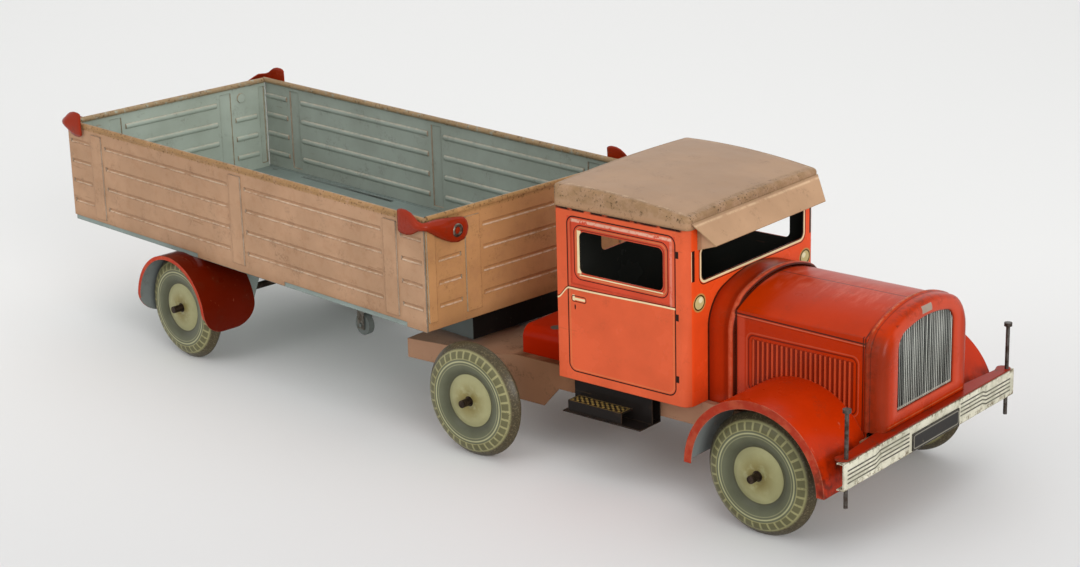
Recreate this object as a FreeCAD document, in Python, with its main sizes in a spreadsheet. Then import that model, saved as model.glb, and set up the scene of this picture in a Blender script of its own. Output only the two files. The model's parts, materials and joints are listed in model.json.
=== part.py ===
# Pressed tin toy lorry: a bonneted tractor with a drop-side trailer hinged on its king pin.
# Millimetres. Tractor pieces are drawn with x = 0 over the rear axle, trailer pieces with
# x = 0 on the king pin, and both with z = 0 on the floor and y = 0 on their own middle line.
import FreeCAD, Part
import Sketcher
import os
import re

doc = FreeCAD.newDocument("tin_lorry")
sheet = doc.addObject("Spreadsheet::Sheet", "Sizes")

SIZES = [
    # sheet metal and fits
    ("tin", 0.5), ("axle_play", 0.05), ("turn_gap", 0.3),
    # wheels, pressed in two halves and fixed on a plain axle
    ("wheel_radius", 24.5), ("tread_half", 1.6), ("tyre_width", 8.0), ("face_radius", 19.0),
    ("shoulder_radius", 23.0), ("shoulder_depth", 1.8), ("dish_radius", 12.6),
    ("disc_radius", 11.3), ("disc_depth", 1.4),
    ("axle_radius", 1.6), ("axle_stub", 4.5), ("collar_radius", 2.9), ("collar_length", 1.2),
    ("wheel_base", 140.0), ("rear_face", 60.6), ("front_face", 57.0),
    # folded chassis channel, kicked down behind the rear axle
    ("chassis_half", 34.0), ("chassis_top", 38.0), ("chassis_rear", -58.0),
    ("chassis_front", 176.0), ("kick_front", 3.0), ("kick_rear", -6.0), ("kick_knee", 2.0),
    ("kick_drop", 5.4), ("flange_depth", 10.5), ("tail_depth", 8.5), ("lobe_half", 18.0),
    ("lobe_bottom", 18.5), ("lobe_slope", 8.0),
    # cab box with its window openings
    ("cab_rear", 34.5), ("cab_front", 99.0), ("cab_half", 43.6), ("cab_top", 109.5),
    ("cab_corner", 4.0), ("window_corner", 2.5),
    ("door_window_rear", 46.2), ("door_window_front", 87.0),
    ("window_sill", 83.6), ("window_head", 100.8),
    ("screen_half", 34.9), ("screen_sill", 87.8),
    ("rear_window_half", 15.5),
    # roof with a turned-down rim, and the sun visor
    ("roof_rim", 1.0), ("roof_rise", 10.3), ("roof_corner", 3.0), ("roof_crown", 1000.0),
    ("roof_bow", 330.0), ("roof_peak", 13.5), ("roof_ledge", 3.0),
    ("visor_half", 43.0), ("visor_tip", 37.6), ("visor_rise", 3.1), ("visor_length", 11.6),
    ("visor_slope", 50.0), ("cheek_drop", 8.8),
    # cowl, bonnet, radiator shell and grille
    ("cowl_front", 111.0), ("cowl_half", 31.8), ("cowl_high", 87.6),
    ("hood_half", 30.0), ("hood_high", 85.2), ("hood_front", 170.4),
    ("arch_corner", 9.0), ("arch_crown", 60.0),
    ("shell_half", 30.6), ("shell_high", 85.6), ("shell_front", 178.4), ("shell_low", 41.0),
    ("grille_half", 19.8), ("grille_low", 47.2), ("grille_high", 78.2), ("grille_corner", 7.0),
    ("grille_back", 1.6), ("grille_bars", 15), ("bar_width", 1.3),
    # front wings and the apron between them
    ("wing_radius", 31.5), ("wing_ahead", 1.5), ("wing_outer", 62.2), ("wing_lip", 3.4),
    ("wing_low", 25.0),
    # bumper, its plate and the width rods
    ("bumper_face", 181.2), ("bumper_half", 62.2), ("bumper_low", 30.2), ("bumper_high", 40.8),
    ("bumper_fold", 3.0),
    ("plate_half", 17.0), ("plate_middle", 1.9), ("plate_high", 37.6), ("plate_thick", 0.6),
    ("rod_radius", 0.8), ("rod_inset", 3.6), ("rod_low", 22.4), ("rod_high", 59.5),
    ("rod_head", 1.6), ("rod_head_length", 1.4),
    # steps below the doors
    ("step_rear", 39.0), ("step_front", 78.0), ("tread_rear", 41.0), ("tread_front", 68.0),
    ("tread_height", 30.0), ("tread_outer", 46.5), ("step_panel", 39.5),
    ("step_base", 25.5), ("step_outer", 47.5),
    # pressed cover on the deck behind the cab
    ("cover_rear", 4.0), ("cover_half", 30.0), ("cover_high", 49.5), ("cover_corner", 5.0),
    # coupling
    ("pin_x", -35.0), ("rest_turn", -6.3), ("pin_radius", 2.2), ("pin_head", 4.0),
    ("pin_head_length", 1.2), ("washer_radius", 8.0), ("coupling_base", 37.0),
    ("coupling_front", 13.0), ("coupling_rear", -20.0), ("coupling_half", 27.0),
    # trailer floor and walls
    ("bed_front", 21.2), ("bed_rear", -236.0), ("bed_half", 59.8), ("bed_low", 50.4),
    ("bed_high", 99.2), ("floor_under", 51.6), ("floor_lip", 50.0), ("lip_rise", 0.8),
    ("bead_radius", 1.3), ("notch_high", 1.9), ("tab_rear", -136.5), ("tab_front", -73.0),
    ("nose_tab", 9.0), ("slot_length", 70.0), ("slot_width", 2.6), ("slot_inset", 3.4),
    ("drain_length", 4.5), ("drain_inset", 5.0),
    # posts pressed outward and ribs pressed inward in the walls
    ("post_width", 8.0), ("post_depth", 1.2), ("post_lift", 3.6), ("post_drop", 4.2),
    ("post_rear", -212.5), ("post_mid", -104.5), ("post_front", 0.6),
    ("end_post_inset", 26.6), ("edge_post_inset", 3.6), ("edge_post_width", 4.4),
    ("rib_radius", 1.4), ("rib_lift", 9.6), ("rib_share", 0.203), ("rib_rows", 4),
    ("rib_space", 2.2), ("rib_end", 1.6),
    # corner latches
    ("rivet_inset", 16.8), ("rivet_drop", 8.2), ("latch_lobe", 5.4), ("latch_reach", 8.3),
    ("lobe_drop", 2.8), ("neck_drop", 3.4), ("latch_waist", 3.0),
    ("rivet_radius", 2.4), ("rivet_length", 1.4), ("rivet_tail", 0.7),
    # trailer axle, its carrier and the rear wings
    ("trailer_axle", -148.0), ("wheel_out", 3.4), ("carrier_half", 40.0),
    ("carrier_length", 40.0), ("carrier_top", 70.0), ("carrier_low", 18.0), ("guard_radius", 25.9),
    ("guard_over", 5.8), ("guard_low", 17.5), ("guard_lip", 1.8), ("guard_round", 11.0),
    # parking wheel under the front of the trailer
    ("park_x", -92.0), ("park_radius", 5.0), ("park_width", 3.0), ("park_height", 13.3),
    ("fork_half", 2.2), ("fork_length", 4.4), ("park_pin", 1.0),
]

for row, (alias, value) in enumerate(SIZES, start=1):
    sheet.set(f"A{row}", alias)
    sheet.set(f"B{row}", str(value))
    sheet.setAlias(f"B{row}", alias)
doc.recompute()

NAMES = {alias for alias, value in SIZES}


def size(alias):
    """The number in one cell."""
    return float(sheet.get(alias))


def linked(formula):
    """A formula of named sizes as an expression on the sheet."""
    def link(word):
        return "Sizes." + word.group(0) if word.group(0) in NAMES else word.group(0)
    return re.sub(r"[a-z][a-z_]*", link, formula)


def block(name, x, y, z):
    """A box between a low and a high formula along each axis."""
    box = doc.addObject("Part::Box", name)
    for axis, side, (low, high) in zip("xyz", ("Length", "Width", "Height"), (x, y, z)):
        box.setExpression(side, linked(f"({high}) - ({low})"))
        box.setExpression("Placement.Base." + axis, linked(low))
    return box


HANDS = (("right", "-"), ("left", "+"))


def span(face, sign, low, high):
    """The low and high formulas at two distances outward from a face."""
    ends = (f"{face} {sign} ({low})", f"{face} {sign} ({high})")
    return ends if sign == "+" else ends[::-1]


TURNS = {
    "x": FreeCAD.Rotation(FreeCAD.Vector(0, 1, 0), 90),
    "y": FreeCAD.Rotation(FreeCAD.Vector(1, 0, 0), -90),
    "z": FreeCAD.Rotation(),
}


def bar(name, along, radius, low, high, centre):
    """A round bar along one axis, between two formulas, at a centre on the other two."""
    round_bar = doc.addObject("Part::Cylinder", name)
    round_bar.Placement = FreeCAD.Placement(FreeCAD.Vector(), TURNS[along])
    round_bar.setExpression("Radius", linked(radius))
    round_bar.setExpression("Height", linked(f"({high}) - ({low})"))
    places = dict(zip([axis for axis in "xyz" if axis != along], centre))
    places[along] = low
    for axis, formula in places.items():
        round_bar.setExpression("Placement.Base." + axis, linked(formula))
    return round_bar


def join(name, pieces):
    """Several shapes made one."""
    fused = doc.addObject("Part::MultiFuse", name)
    fused.Shapes = pieces
    return fused


def cut(name, base, tools):
    """A shape less one or more others."""
    carved = doc.addObject("Part::Cut", name)
    carved.Base = base
    carved.Tool = tools[0] if len(tools) == 1 else join(name + "_tools", tools)
    return carved


def overlap(name, pieces):
    """What several shapes have in common."""
    common = doc.addObject("Part::MultiCommon", name)
    common.Shapes = pieces
    return common


def rounded(name, base, along, radius, wanted=lambda point: True):
    """The base with a radius on its straight edges along one axis that are wanted."""
    doc.recompute()
    direction = TURNS[along].multVec(FreeCAD.Vector(0, 0, 1))
    edges = []
    for index, edge in enumerate(base.Shape.Edges, start=1):
        if edge.Curve.TypeId != "Part::GeomLine":
            continue
        if abs(edge.tangentAt(edge.FirstParameter).dot(direction)) > 0.999:
            if wanted(edge.CenterOfMass):
                edges.append((index, radius, radius))
    smooth = doc.addObject("Part::Fillet", name)
    smooth.Base = base
    smooth.Edges = edges
    return smooth


def outline(body, role, points):
    """A closed sketch on an origin plane of the body, each corner tied to two formulas."""
    sketch = body.newObject("Sketcher::SketchObject", body.Name + "_outline")
    plane = next(item for item in body.Origin.OriginFeatures if item.Role == role)
    sketch.AttachmentSupport = (plane, "")
    sketch.MapMode = "FlatFace"
    probe = doc.addObject("App::FeaturePython", body.Name + "_probe")
    corners = []
    for index, (across, up) in enumerate(points):
        for axis, formula in (("U", across), ("V", up)):
            probe.addProperty("App::PropertyFloat", f"{axis}{index}")
            probe.setExpression(f"{axis}{index}", linked(formula))
    doc.recompute()
    for index in range(len(points)):
        corners.append(FreeCAD.Vector(getattr(probe, f"U{index}"), getattr(probe, f"V{index}"), 0))
    doc.removeObject(probe.Name)
    count = len(points)
    for index in range(count):
        sketch.addGeometry(Part.LineSegment(corners[index], corners[(index + 1) % count]), False)
    for index in range(count):
        sketch.addConstraint(Sketcher.Constraint("Coincident", index, 2, (index + 1) % count, 1))
    for index, (across, up) in enumerate(points):
        for kind, formula, value in (("DistanceX", across, corners[index].x),
                                     ("DistanceY", up, corners[index].y)):
            place = sketch.addConstraint(Sketcher.Constraint(kind, -1, 1, index, 1, value))
            sketch.setExpression(f"Constraints[{place}]", linked(formula))
    return sketch


def padded(name, role, points, length):
    """A flat outline padded evenly to both sides of its plane."""
    body = doc.addObject("PartDesign::Body", name)
    sketch = outline(body, role, points)
    pad = body.newObject("PartDesign::Pad", name + "_pad")
    pad.Profile = sketch
    pad.SideType = "Symmetric"
    pad.setExpression("Length", linked(length))
    return body


def turned(name, points):
    """An outline of (y, z) corners turned about the Y axis."""
    body = doc.addObject("PartDesign::Body", name)
    sketch = outline(body, "YZ_Plane", points)
    turn = body.newObject("PartDesign::Revolution", name + "_turn")
    turn.Profile = sketch
    turn.ReferenceAxis = (sketch, ["H_Axis"])
    turn.Angle = 360
    return body


# The whole toy is stored with its origin on the floor at the middle of its box.
MIDDLE_X = ("(bumper_face + plate_thick + pin_x + (bed_rear - post_depth) * cos(rest_turn)"
            " + (bed_half + post_depth) * sin(rest_turn)) / 2")
MIDDLE_Y = ("((bed_rear - post_depth) * sin(rest_turn) + (bed_half + post_depth) * cos(rest_turn)"
            " - rear_face - axle_stub) / 2")
PLACES = {
    "tractor": (f"-({MIDDLE_X})", f"-({MIDDLE_Y})", "0"),
    "trailer": (f"pin_x - ({MIDDLE_X})", f"-({MIDDLE_Y})", "rest_turn"),
}
NODES = []


def node(label, group, pieces):
    """A named piece of the toy, set in place with the tractor or with the trailer."""
    piece = doc.addObject("Part::Compound", label)
    piece.Label = label
    piece.Links = pieces
    x, y, turn = PLACES[group]
    piece.setExpression("Placement", linked(
        f"create(<<placement>>; create(<<vector>>; {x}; {y}; 0);"
        f" create(<<rotation>>; create(<<vector>>; 0; 0; 1); {turn}))"))
    NODES.append(piece)


# Chassis: one folded channel, open below, with deeper lobes round both axles.
def chassis():
    top = "chassis_top"
    tail_top = "chassis_top - kick_drop"
    side = [
        ("chassis_rear", tail_top), ("chassis_rear", f"{tail_top} - tail_depth"),
        ("-lobe_half - lobe_slope", f"{top} - flange_depth - kick_drop / 2"),
        ("-lobe_half", "lobe_bottom"), ("lobe_half", "lobe_bottom"),
        ("lobe_half + lobe_slope", f"{top} - flange_depth"),
        ("wheel_base - lobe_half - lobe_slope", f"{top} - flange_depth"),
        ("wheel_base - lobe_half", "lobe_bottom"), ("wheel_base + lobe_half", "lobe_bottom"),
        ("wheel_base + lobe_half + lobe_slope", f"{top} - flange_depth"),
        ("chassis_front", f"{top} - tail_depth"), ("chassis_front", top),
        ("kick_front", top), ("kick_rear", f"{top} - kick_knee"),
    ]
    web = [
        ("chassis_rear", tail_top), ("chassis_rear", f"{tail_top} - tin"),
        ("kick_rear", f"{top} - kick_knee - tin"), ("kick_front", f"{top} - tin"),
        ("chassis_front", f"{top} - tin"), ("chassis_front", top),
        ("kick_front", top), ("kick_rear", f"{top} - kick_knee"),
    ]
    flanges = []
    for hand, sign in HANDS:
        flange = padded("chassis_flange_" + hand, "XZ_Plane", side, "tin")
        flange.setExpression("Placement.Base.y", linked(f"0 {sign} (chassis_half - tin / 2)"))
        flanges.append(flange)
    sheet_top = padded("chassis_web", "XZ_Plane", web, "2 * chassis_half")
    washer = bar("pivot_washer", "z", "washer_radius", f"{tail_top} - tin",
                 "coupling_base - turn_gap", ("pin_x", "0"))
    holes = [
        bar("rear_axle_hole", "y", "axle_radius + axle_play", "-chassis_half - 1",
            "chassis_half + 1", ("0", "wheel_radius")),
        bar("front_axle_hole", "y", "axle_radius + axle_play", "-chassis_half - 1",
            "chassis_half + 1", ("wheel_base", "wheel_radius")),
        bar("pin_hole", "z", "pin_radius + axle_play", "lobe_bottom", "coupling_base + 1",
            ("pin_x", "0")),
    ]
    whole = join("chassis_sheet", [sheet_top, washer] + flanges)
    node("chassis", "tractor", [cut("chassis_drilled", whole, holes)])


# Cab: a box of folded tin with its floor, open at the top under the roof.
def cab():
    def front(point):
        return point.x > size("cab_front") - 1
    outer = rounded("cab_outer", block(
        "cab_block", ("cab_rear", "cab_front"), ("-cab_half", "cab_half"),
        ("chassis_top", "cab_top")), "z", size("cab_corner"), front)
    inner = rounded("cab_inner", block(
        "cab_room", ("cab_rear + tin", "cab_front - tin"), ("-cab_half + tin", "cab_half - tin"),
        ("chassis_top + tin", "cab_top + 1")), "z", size("cab_corner") - size("tin"),
        lambda point: point.x > size("cab_front") - size("tin") - 0.1)
    doors = rounded("door_windows", block(
        "door_window_block", ("door_window_rear", "door_window_front"),
        ("-cab_half - 1", "cab_half + 1"), ("window_sill", "window_head")),
        "y", size("window_corner"))
    screen = rounded("screen", block(
        "screen_block", ("cab_front - cab_corner", "cab_front + 1"),
        ("-screen_half", "screen_half"), ("screen_sill", "window_head")),
        "x", size("window_corner"))
    rear = rounded("rear_window", block(
        "rear_window_block", ("cab_rear - 1", "cab_rear + 2"),
        ("-rear_window_half", "rear_window_half"), ("window_sill", "window_head")),
        "x", size("window_corner"))
    node("cab", "tractor", [cut("cab_shell", outer, [inner, doors, screen, rear])])


# Roof: a shallow pressing, bowed from back to front, whose rim turns down over the cab walls.
def crowned(name, x, half, low, top, corner):
    body = rounded(name + "_plan", block(
        name + "_block", x, (f"-({half})", half), (low, top)), "z", corner)
    crown = bar(name + "_crown", "x", "roof_crown", x[0] + " - 1", x[1] + " + 1",
                ("0", f"{top} - roof_crown"))
    bow = bar(name + "_bow", "y", "roof_bow", f"-({half}) - 1", f"{half} + 1",
              ("cab_rear + roof_peak", f"{top} - roof_bow"))
    return overlap(name, [body, crown, bow])


def roof():
    corner = size("roof_corner")
    top = "cab_top + roof_rise"
    outer = crowned("roof_outer", ("cab_rear - roof_rim", "cab_front + roof_rim"),
                    "cab_half + roof_rim", "cab_top", top, corner)
    inner = crowned("roof_inner", ("cab_rear - roof_rim + tin", "cab_front + roof_rim - tin"),
                    "cab_half + roof_rim - tin", "cab_top - 1", f"{top} - tin",
                    corner - size("tin"))
    ledge = cut("roof_ledge", block(
        "ledge_block", ("cab_rear - roof_rim", "cab_front + roof_rim"),
        ("-cab_half - roof_rim", "cab_half + roof_rim"), ("cab_top", "cab_top + tin")), [block(
            "ledge_gap", ("cab_rear + roof_ledge", "cab_front - roof_ledge"),
            ("-cab_half + roof_ledge", "cab_half - roof_ledge"),
            ("cab_top - 1", "cab_top + tin + 1"))])
    shell = cut("roof_shell", outer, [inner])
    held = overlap("roof_ledge_trimmed", [ledge, outer])
    node("roof", "tractor", [join("roof_sheet", [shell, held])])


# Sun visor: a slanting plate hung on the front rim of the roof, with a cheek at each end.
def visor():
    hinge = "cab_front + roof_rim + tin / 2"
    top = "cab_top + visor_rise"
    plate = padded("visor_plate", "XY_Plane", [
        ("0", "-visor_half"), ("visor_length", "-visor_tip"),
        ("visor_length", "visor_tip"), ("0", "visor_half")], "tin")
    plate.setExpression("Placement", linked(
        f"create(<<placement>>; create(<<vector>>; {hinge}; 0; {top});"
        " create(<<rotation>>; create(<<vector>>; 0; 1; 0); visor_slope))"))
    side = [
        ("cab_front", "cab_top - cheek_drop"),
        (f"{hinge} + visor_length * cos(visor_slope)", f"{top} - visor_length * sin(visor_slope)"),
        (f"{hinge} + visor_rise / tan(visor_slope)", "cab_top"), ("cab_front", "cab_top"),
    ]
    cheeks = []
    for hand, sign in HANDS:
        cheek = padded("visor_cheek_" + hand, "XZ_Plane", side, "tin")
        cheek.setExpression("Placement.Base.y", linked(f"0 {sign} (visor_tip - tin / 2)"))
        cheeks.append(cheek)
    node("sun_visor", "tractor", [join("visor_sheet", [plate] + cheeks)])


# Cowl, bonnet and radiator shell share one arch: straight sides, rounded shoulders, a crown.
def arch(name, x, half, low, high, corner):
    body = rounded(name + "_shoulders", block(
        name + "_block", x, (f"-({half})", half), (low, high)), "x", corner,
        lambda point: point.z > size("grille_low"))
    crown = bar(name + "_crown", "x", "arch_crown", x[0] + " - 1", x[1] + " + 1",
                ("0", f"{high} - arch_crown"))
    foot = block(name + "_foot", x, (f"-({half})", half), (low, f"{high} - arch_corner"))
    return overlap(name, [body, join(name + "_bound", [crown, foot])])


def front_end():
    corner = size("arch_corner")
    inner_corner = corner - size("tin")
    cowl = cut("cowl_shell", arch(
        "cowl_outer", ("cab_front", "cowl_front"), "cowl_half", "chassis_top", "cowl_high",
        corner), [arch("cowl_inner", ("cab_front - 1", "cowl_front + 1"), "cowl_half - tin",
                       "chassis_top - 1", "cowl_high - tin", inner_corner)])
    rim = cut("cowl_rim_shell", arch(
        "cowl_rim", ("cowl_front - tin", "cowl_front"), "cowl_half", "chassis_top",
        "cowl_high", corner), [arch(
            "cowl_rim_gap", ("cowl_front - 1", "cowl_front + 1"), "hood_half - tin",
            "chassis_top - 1", "hood_high - tin", inner_corner)])
    node("cowl", "tractor", [join("cowl_sheet", [cowl, rim])])
    hood = cut("hood_shell", arch(
        "hood_outer", ("cowl_front", "hood_front"), "hood_half", "chassis_top", "hood_high",
        corner), [arch("hood_inner", ("cowl_front - 1", "hood_front + 1"), "hood_half - tin",
                       "chassis_top - 1", "hood_high - tin", inner_corner)])
    node("bonnet", "tractor", [hood])
    opening = rounded("grille_opening", block(
        "grille_block", ("hood_front - 1", "shell_front + 1"), ("-grille_half", "grille_half"),
        ("grille_low", "grille_high")), "x", size("grille_corner"),
        lambda point: point.z > size("grille_high") - 1)
    shell = cut("radiator_shell", arch(
        "shell_outer", ("hood_front", "shell_front"), "shell_half", "shell_low", "shell_high",
        corner), [arch("shell_inner", ("hood_front - 1", "shell_front - tin"),
                       "shell_half - tin", "shell_low - 1", "shell_high - tin",
                       inner_corner), opening])
    node("radiator", "tractor", [shell])
    back = arch("grille_plate", ("shell_front - grille_back - 2 * tin",
                                 "shell_front - grille_back - tin"),
                "shell_half - tin", "shell_low", "shell_high - tin", inner_corner)
    bars = []
    count = int(size("grille_bars"))
    for index in range(count):
        place = f"(2 * {index} + 1 - grille_bars) * grille_half / grille_bars"
        bars.append(block(f"grille_bar_{index}", ("shell_front - grille_back - tin",
                                                  "shell_front - grille_back + tin"),
                          (f"{place} - bar_width / 2", f"{place} + bar_width / 2"),
                          ("grille_low - tin", "grille_high - tin")))
    node("grille", "tractor", [join("grille_sheet", [back] + bars)])


# Front wings: half rings of tin with a lip turned in round the wheel opening.
def ring_above(name, outer, inner, across, centre, low):
    ring = cut(name, bar(name + "_out", "y", outer, across[0], across[1], centre), [
        bar(name + "_in", "y", inner, f"{across[0]} - 1", f"{across[1]} + 1", centre)])
    keep = block(name + "_keep", (f"{centre[0]} - {outer} - 1", f"{centre[0]} + {outer} + 1"),
                 (f"{across[0]} - 1", f"{across[1]} + 1"), (low, f"{centre[1]} + {outer} + 1"))
    return overlap(name + "_half", [ring, keep])


def wings():
    centre = ("wheel_base + wing_ahead", "wheel_radius")
    for hand, sign in HANDS:
        rings = [
            ring_above("wing_arch_" + hand, "wing_radius", "wing_radius - tin",
                       span("0", sign, "chassis_half", "wing_outer"), centre, "wing_low"),
            ring_above("wing_root_" + hand, "wing_radius", "wing_radius - tin",
                       span("0", sign, "hood_half", "chassis_half"), centre, "chassis_top"),
            ring_above("wing_edge_" + hand, "wing_radius", "wing_radius - wing_lip",
                       span("0", sign, "wing_outer - tin", "wing_outer"), centre, "wing_low"),
        ]
        node("front_wing_" + hand, "tractor", [join("wing_sheet_" + hand, rings)])
    apron = block("apron_plate", ("hood_front", "chassis_front"), ("-chassis_half", "chassis_half"),
                  ("chassis_top", "chassis_top + tin"))
    node("apron", "tractor", [apron])


# Bumper: a shallow channel across the front, with a bare plate and two width rods.
def bumper():
    face = block("bumper_strip", ("bumper_face - tin", "bumper_face"),
                 ("-bumper_half", "bumper_half"), ("bumper_low", "bumper_high"))
    folds = [
        block("bumper_top_fold", ("bumper_face - bumper_fold", "bumper_face"),
              ("-bumper_half", "bumper_half"), ("bumper_high - tin", "bumper_high")),
        block("bumper_low_fold", ("bumper_face - bumper_fold", "bumper_face"),
              ("-bumper_half", "bumper_half"), ("bumper_low", "bumper_low + tin")),
    ]
    arms = [block(f"bumper_arm_{hand}", ("chassis_front", "bumper_face - tin"),
                  span("0", sign, "chassis_half - tin", "chassis_half"),
                  ("bumper_low + 2", "chassis_top - tin")) for hand, sign in HANDS]
    rod_x = "bumper_face - tin - rod_radius"
    rods = [(hand, f"0 {sign} (bumper_half - rod_inset)") for hand, sign in HANDS]
    holes = [bar(f"rod_hole_{hand}", "z", "rod_radius", "bumper_low - 1", "bumper_high + 1",
                 (rod_x, y)) for hand, y in rods]
    node("bumper", "tractor", [cut("bumper_sheet", join("bumper_whole", [face] + folds + arms),
                                   holes)])
    node("number_plate", "tractor", [block(
        "plate_blank", ("bumper_face", "bumper_face + plate_thick"),
        ("plate_middle - plate_half", "plate_middle + plate_half"),
        ("bumper_low + tin", "plate_high"))])
    for hand, y in rods:
        shank = bar("rod_shank_" + hand, "z", "rod_radius", "rod_low", "rod_high", (rod_x, y))
        head = bar("rod_head_" + hand, "z", "rod_head", "rod_high", "rod_high + rod_head_length",
                   (rod_x, y))
        node("width_rod_" + hand, "tractor", [join("rod_whole_" + hand, [shank, head])])


# Steps: a back panel, a raised tread and a wider base plate on each side.
def steps():
    for hand, sign in HANDS:
        panel = block("step_back_" + hand, ("step_rear", "step_front"),
                      span("0", sign, "step_panel - tin", "step_panel"),
                      ("step_base", "chassis_top"))
        tread = block("step_tread_" + hand, ("tread_rear", "tread_front"),
                      span("0", sign, "step_panel - tin", "tread_outer"),
                      ("tread_height - tin", "tread_height"))
        lip = block("step_lip_" + hand, ("tread_rear", "tread_front"),
                    span("0", sign, "tread_outer - tin", "tread_outer"),
                    ("step_base", "tread_height"))
        base = block("step_base_" + hand, ("step_rear", "step_front"),
                     span("0", sign, "chassis_half", "step_outer"),
                     ("step_base - tin", "step_base"))
        foot = block("step_foot_" + hand, ("step_rear", "step_front"),
                     span("0", sign, "chassis_half", "chassis_half + tin"),
                     ("step_base - tin", "chassis_top - tin"))
        node("step_" + hand, "tractor", [join("step_sheet_" + hand, [
            panel, tread, lip, base, foot])])


# Cover: a low pressed box on the deck between the coupling and the cab.
def cover():
    outer = rounded("cover_outer", block(
        "cover_block", ("cover_rear", "cab_rear"), ("-cover_half", "cover_half"),
        ("chassis_top", "cover_high")), "x", size("cover_corner"),
        lambda point: point.z > size("chassis_top") + 1)
    inner = rounded("cover_inner", block(
        "cover_room", ("cover_rear + tin", "cab_rear + 1"),
        ("-cover_half + tin", "cover_half - tin"), ("chassis_top - 1", "cover_high - tin")),
        "x", size("cover_corner") - size("tin"),
        lambda point: point.z > size("chassis_top") + 1)
    node("deck_cover", "tractor", [cut("cover_sheet", outer, [inner])])


# Wheels and axles: each axle with its two wheels turns as one.
def wheel_profile():
    return [
        ("disc_depth", "axle_radius"), ("disc_depth", "disc_radius"), ("0", "dish_radius"),
        ("0", "face_radius"), ("shoulder_depth", "shoulder_radius"),
        ("tyre_width / 2 - tread_half", "wheel_radius"),
        ("tyre_width / 2 + tread_half", "wheel_radius"),
        ("tyre_width - shoulder_depth", "shoulder_radius"), ("tyre_width", "face_radius"),
        ("tyre_width", "dish_radius"), ("tyre_width - disc_depth", "disc_radius"),
        ("tyre_width - disc_depth", "axle_radius"),
    ]


def axle(name, group, x, face):
    reach = f"({face}) + axle_stub"
    shaft = bar(name + "_shaft", "y", "axle_radius", f"-({reach})", reach, (x, "wheel_radius"))
    collars = []
    for hand, low, high in (
            ("right", f"-({face}) + disc_depth - collar_length", f"-({face}) + disc_depth"),
            ("left", f"({face}) - disc_depth", f"({face}) - disc_depth + collar_length")):
        collars.append(bar(f"{name}_collar_{hand}", "y", "collar_radius", low, high,
                           (x, "wheel_radius")))
        wheel = turned(f"{name}_wheel_{hand}", wheel_profile())
        start = f"-({face})" if hand == "right" else f"({face}) - tyre_width"
        wheel.setExpression("Placement.Base.x", linked(x))
        wheel.setExpression("Placement.Base.y", linked(start))
        wheel.setExpression("Placement.Base.z", linked("wheel_radius"))
        node(f"{name}_disc_{hand}", group, [wheel])
    node(name + "_rod", group, [join(name + "_turned", [shaft] + collars)])


# Trailer floor with its slots, a small hole in each rear corner and its side flanges.
def floor():
    sheet_floor = block("floor_sheet", ("bed_rear + tin", "bed_front - tin"),
                        ("-bed_half + tin", "bed_half - tin"),
                        ("floor_under", "floor_under + tin"))
    lips = [block("floor_lip_" + hand, ("bed_rear + tin", "bed_front - tin"),
                  span("0", sign, "bed_half - 2 * tin", "bed_half - tin"),
                  ("floor_lip", "floor_under + tin + lip_rise")) for hand, sign in HANDS]
    slots = []
    for hand, sign in HANDS:
        for place, x in (("rear", "(bed_rear + post_mid) / 2"),
                         ("front", "(bed_front + post_mid) / 2")):
            slots.append(block(f"floor_slot_{place}_{hand}",
                               (f"{x} - slot_length / 2", f"{x} + slot_length / 2"),
                               span("0", sign, "bed_half - slot_inset - slot_width / 2",
                                    "bed_half - slot_inset + slot_width / 2"),
                               ("floor_under - 1", "floor_under + 1")))
        slots.append(block(f"floor_drain_{hand}", ("bed_rear + drain_inset",
                                                   "bed_rear + drain_inset + drain_length"),
                           span("0", sign, "bed_half - slot_inset - slot_width / 2",
                                "bed_half - slot_inset + slot_width / 2"),
                           ("floor_under - 1", "floor_under + 1")))
    pin_hole = bar("floor_pin_hole", "z", "pin_radius", "floor_under - 1", "floor_under + 1",
                   ("0", "0"))
    node("bed_floor", "trailer", [cut("floor_pressed", join(
        "floor_whole", [sheet_floor] + lips), slots + [pin_hole])])


# Bed walls: tin with posts pressed outward, ribs pressed inward and a rolled top edge.
def pressed_wall(name, along, face, sign, run, bead, posts, ribs, tools=()):
    def plate(title, length, depth, height):
        sides = (length, span(face, sign, *depth))
        return block(title, *(sides if along == "x" else sides[::-1]), height)
    pieces = [
        plate(name + "_panel", run, ("-tin", "0"), ("bed_low", "bed_high - bead_radius")),
        bar(name + "_bead", along, "bead_radius", *bead[:2], (bead[2], "bed_high - bead_radius")),
    ]
    tools = list(tools)
    post_low, post_high = "bed_low + post_lift", "bed_high - post_drop"
    for index, (middle, width) in enumerate(posts):
        pieces.append(plate(f"{name}_post_{index}", (f"{middle} - {width} / 2",
                                                     f"{middle} + {width} / 2"),
                            ("0", "post_depth - tin"), (post_low, post_high)))
        tools.append(plate(f"{name}_recess_{index}", (f"{middle} - {width} / 2 + tin",
                                                      f"{middle} + {width} / 2 - tin"),
                           ("-tin - 1", "post_depth - 2 * tin"),
                           (f"{post_low} + tin", f"{post_high} - tin")))
    bulges = []
    for index, (low, high, row) in enumerate(ribs):
        centre = (face, f"bed_low + rib_lift + {row} * rib_share * (bed_high - bed_low)")
        bulges.append(bar(f"{name}_rib_{index}", along, "rib_radius", f"{low} - tin",
                          f"{high} + tin", centre))
        tools.append(bar(f"{name}_groove_{index}", along, "rib_radius - tin", low, high, centre))
    inside = plate(name + "_inside", run, ("-rib_radius - 1", "0"), ("bed_low", "bed_high"))
    pieces.append(overlap(name + "_ribs", [join(name + "_rib_bars", bulges), inside]))
    return cut(name, join(name + "_whole", pieces), tools)


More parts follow.
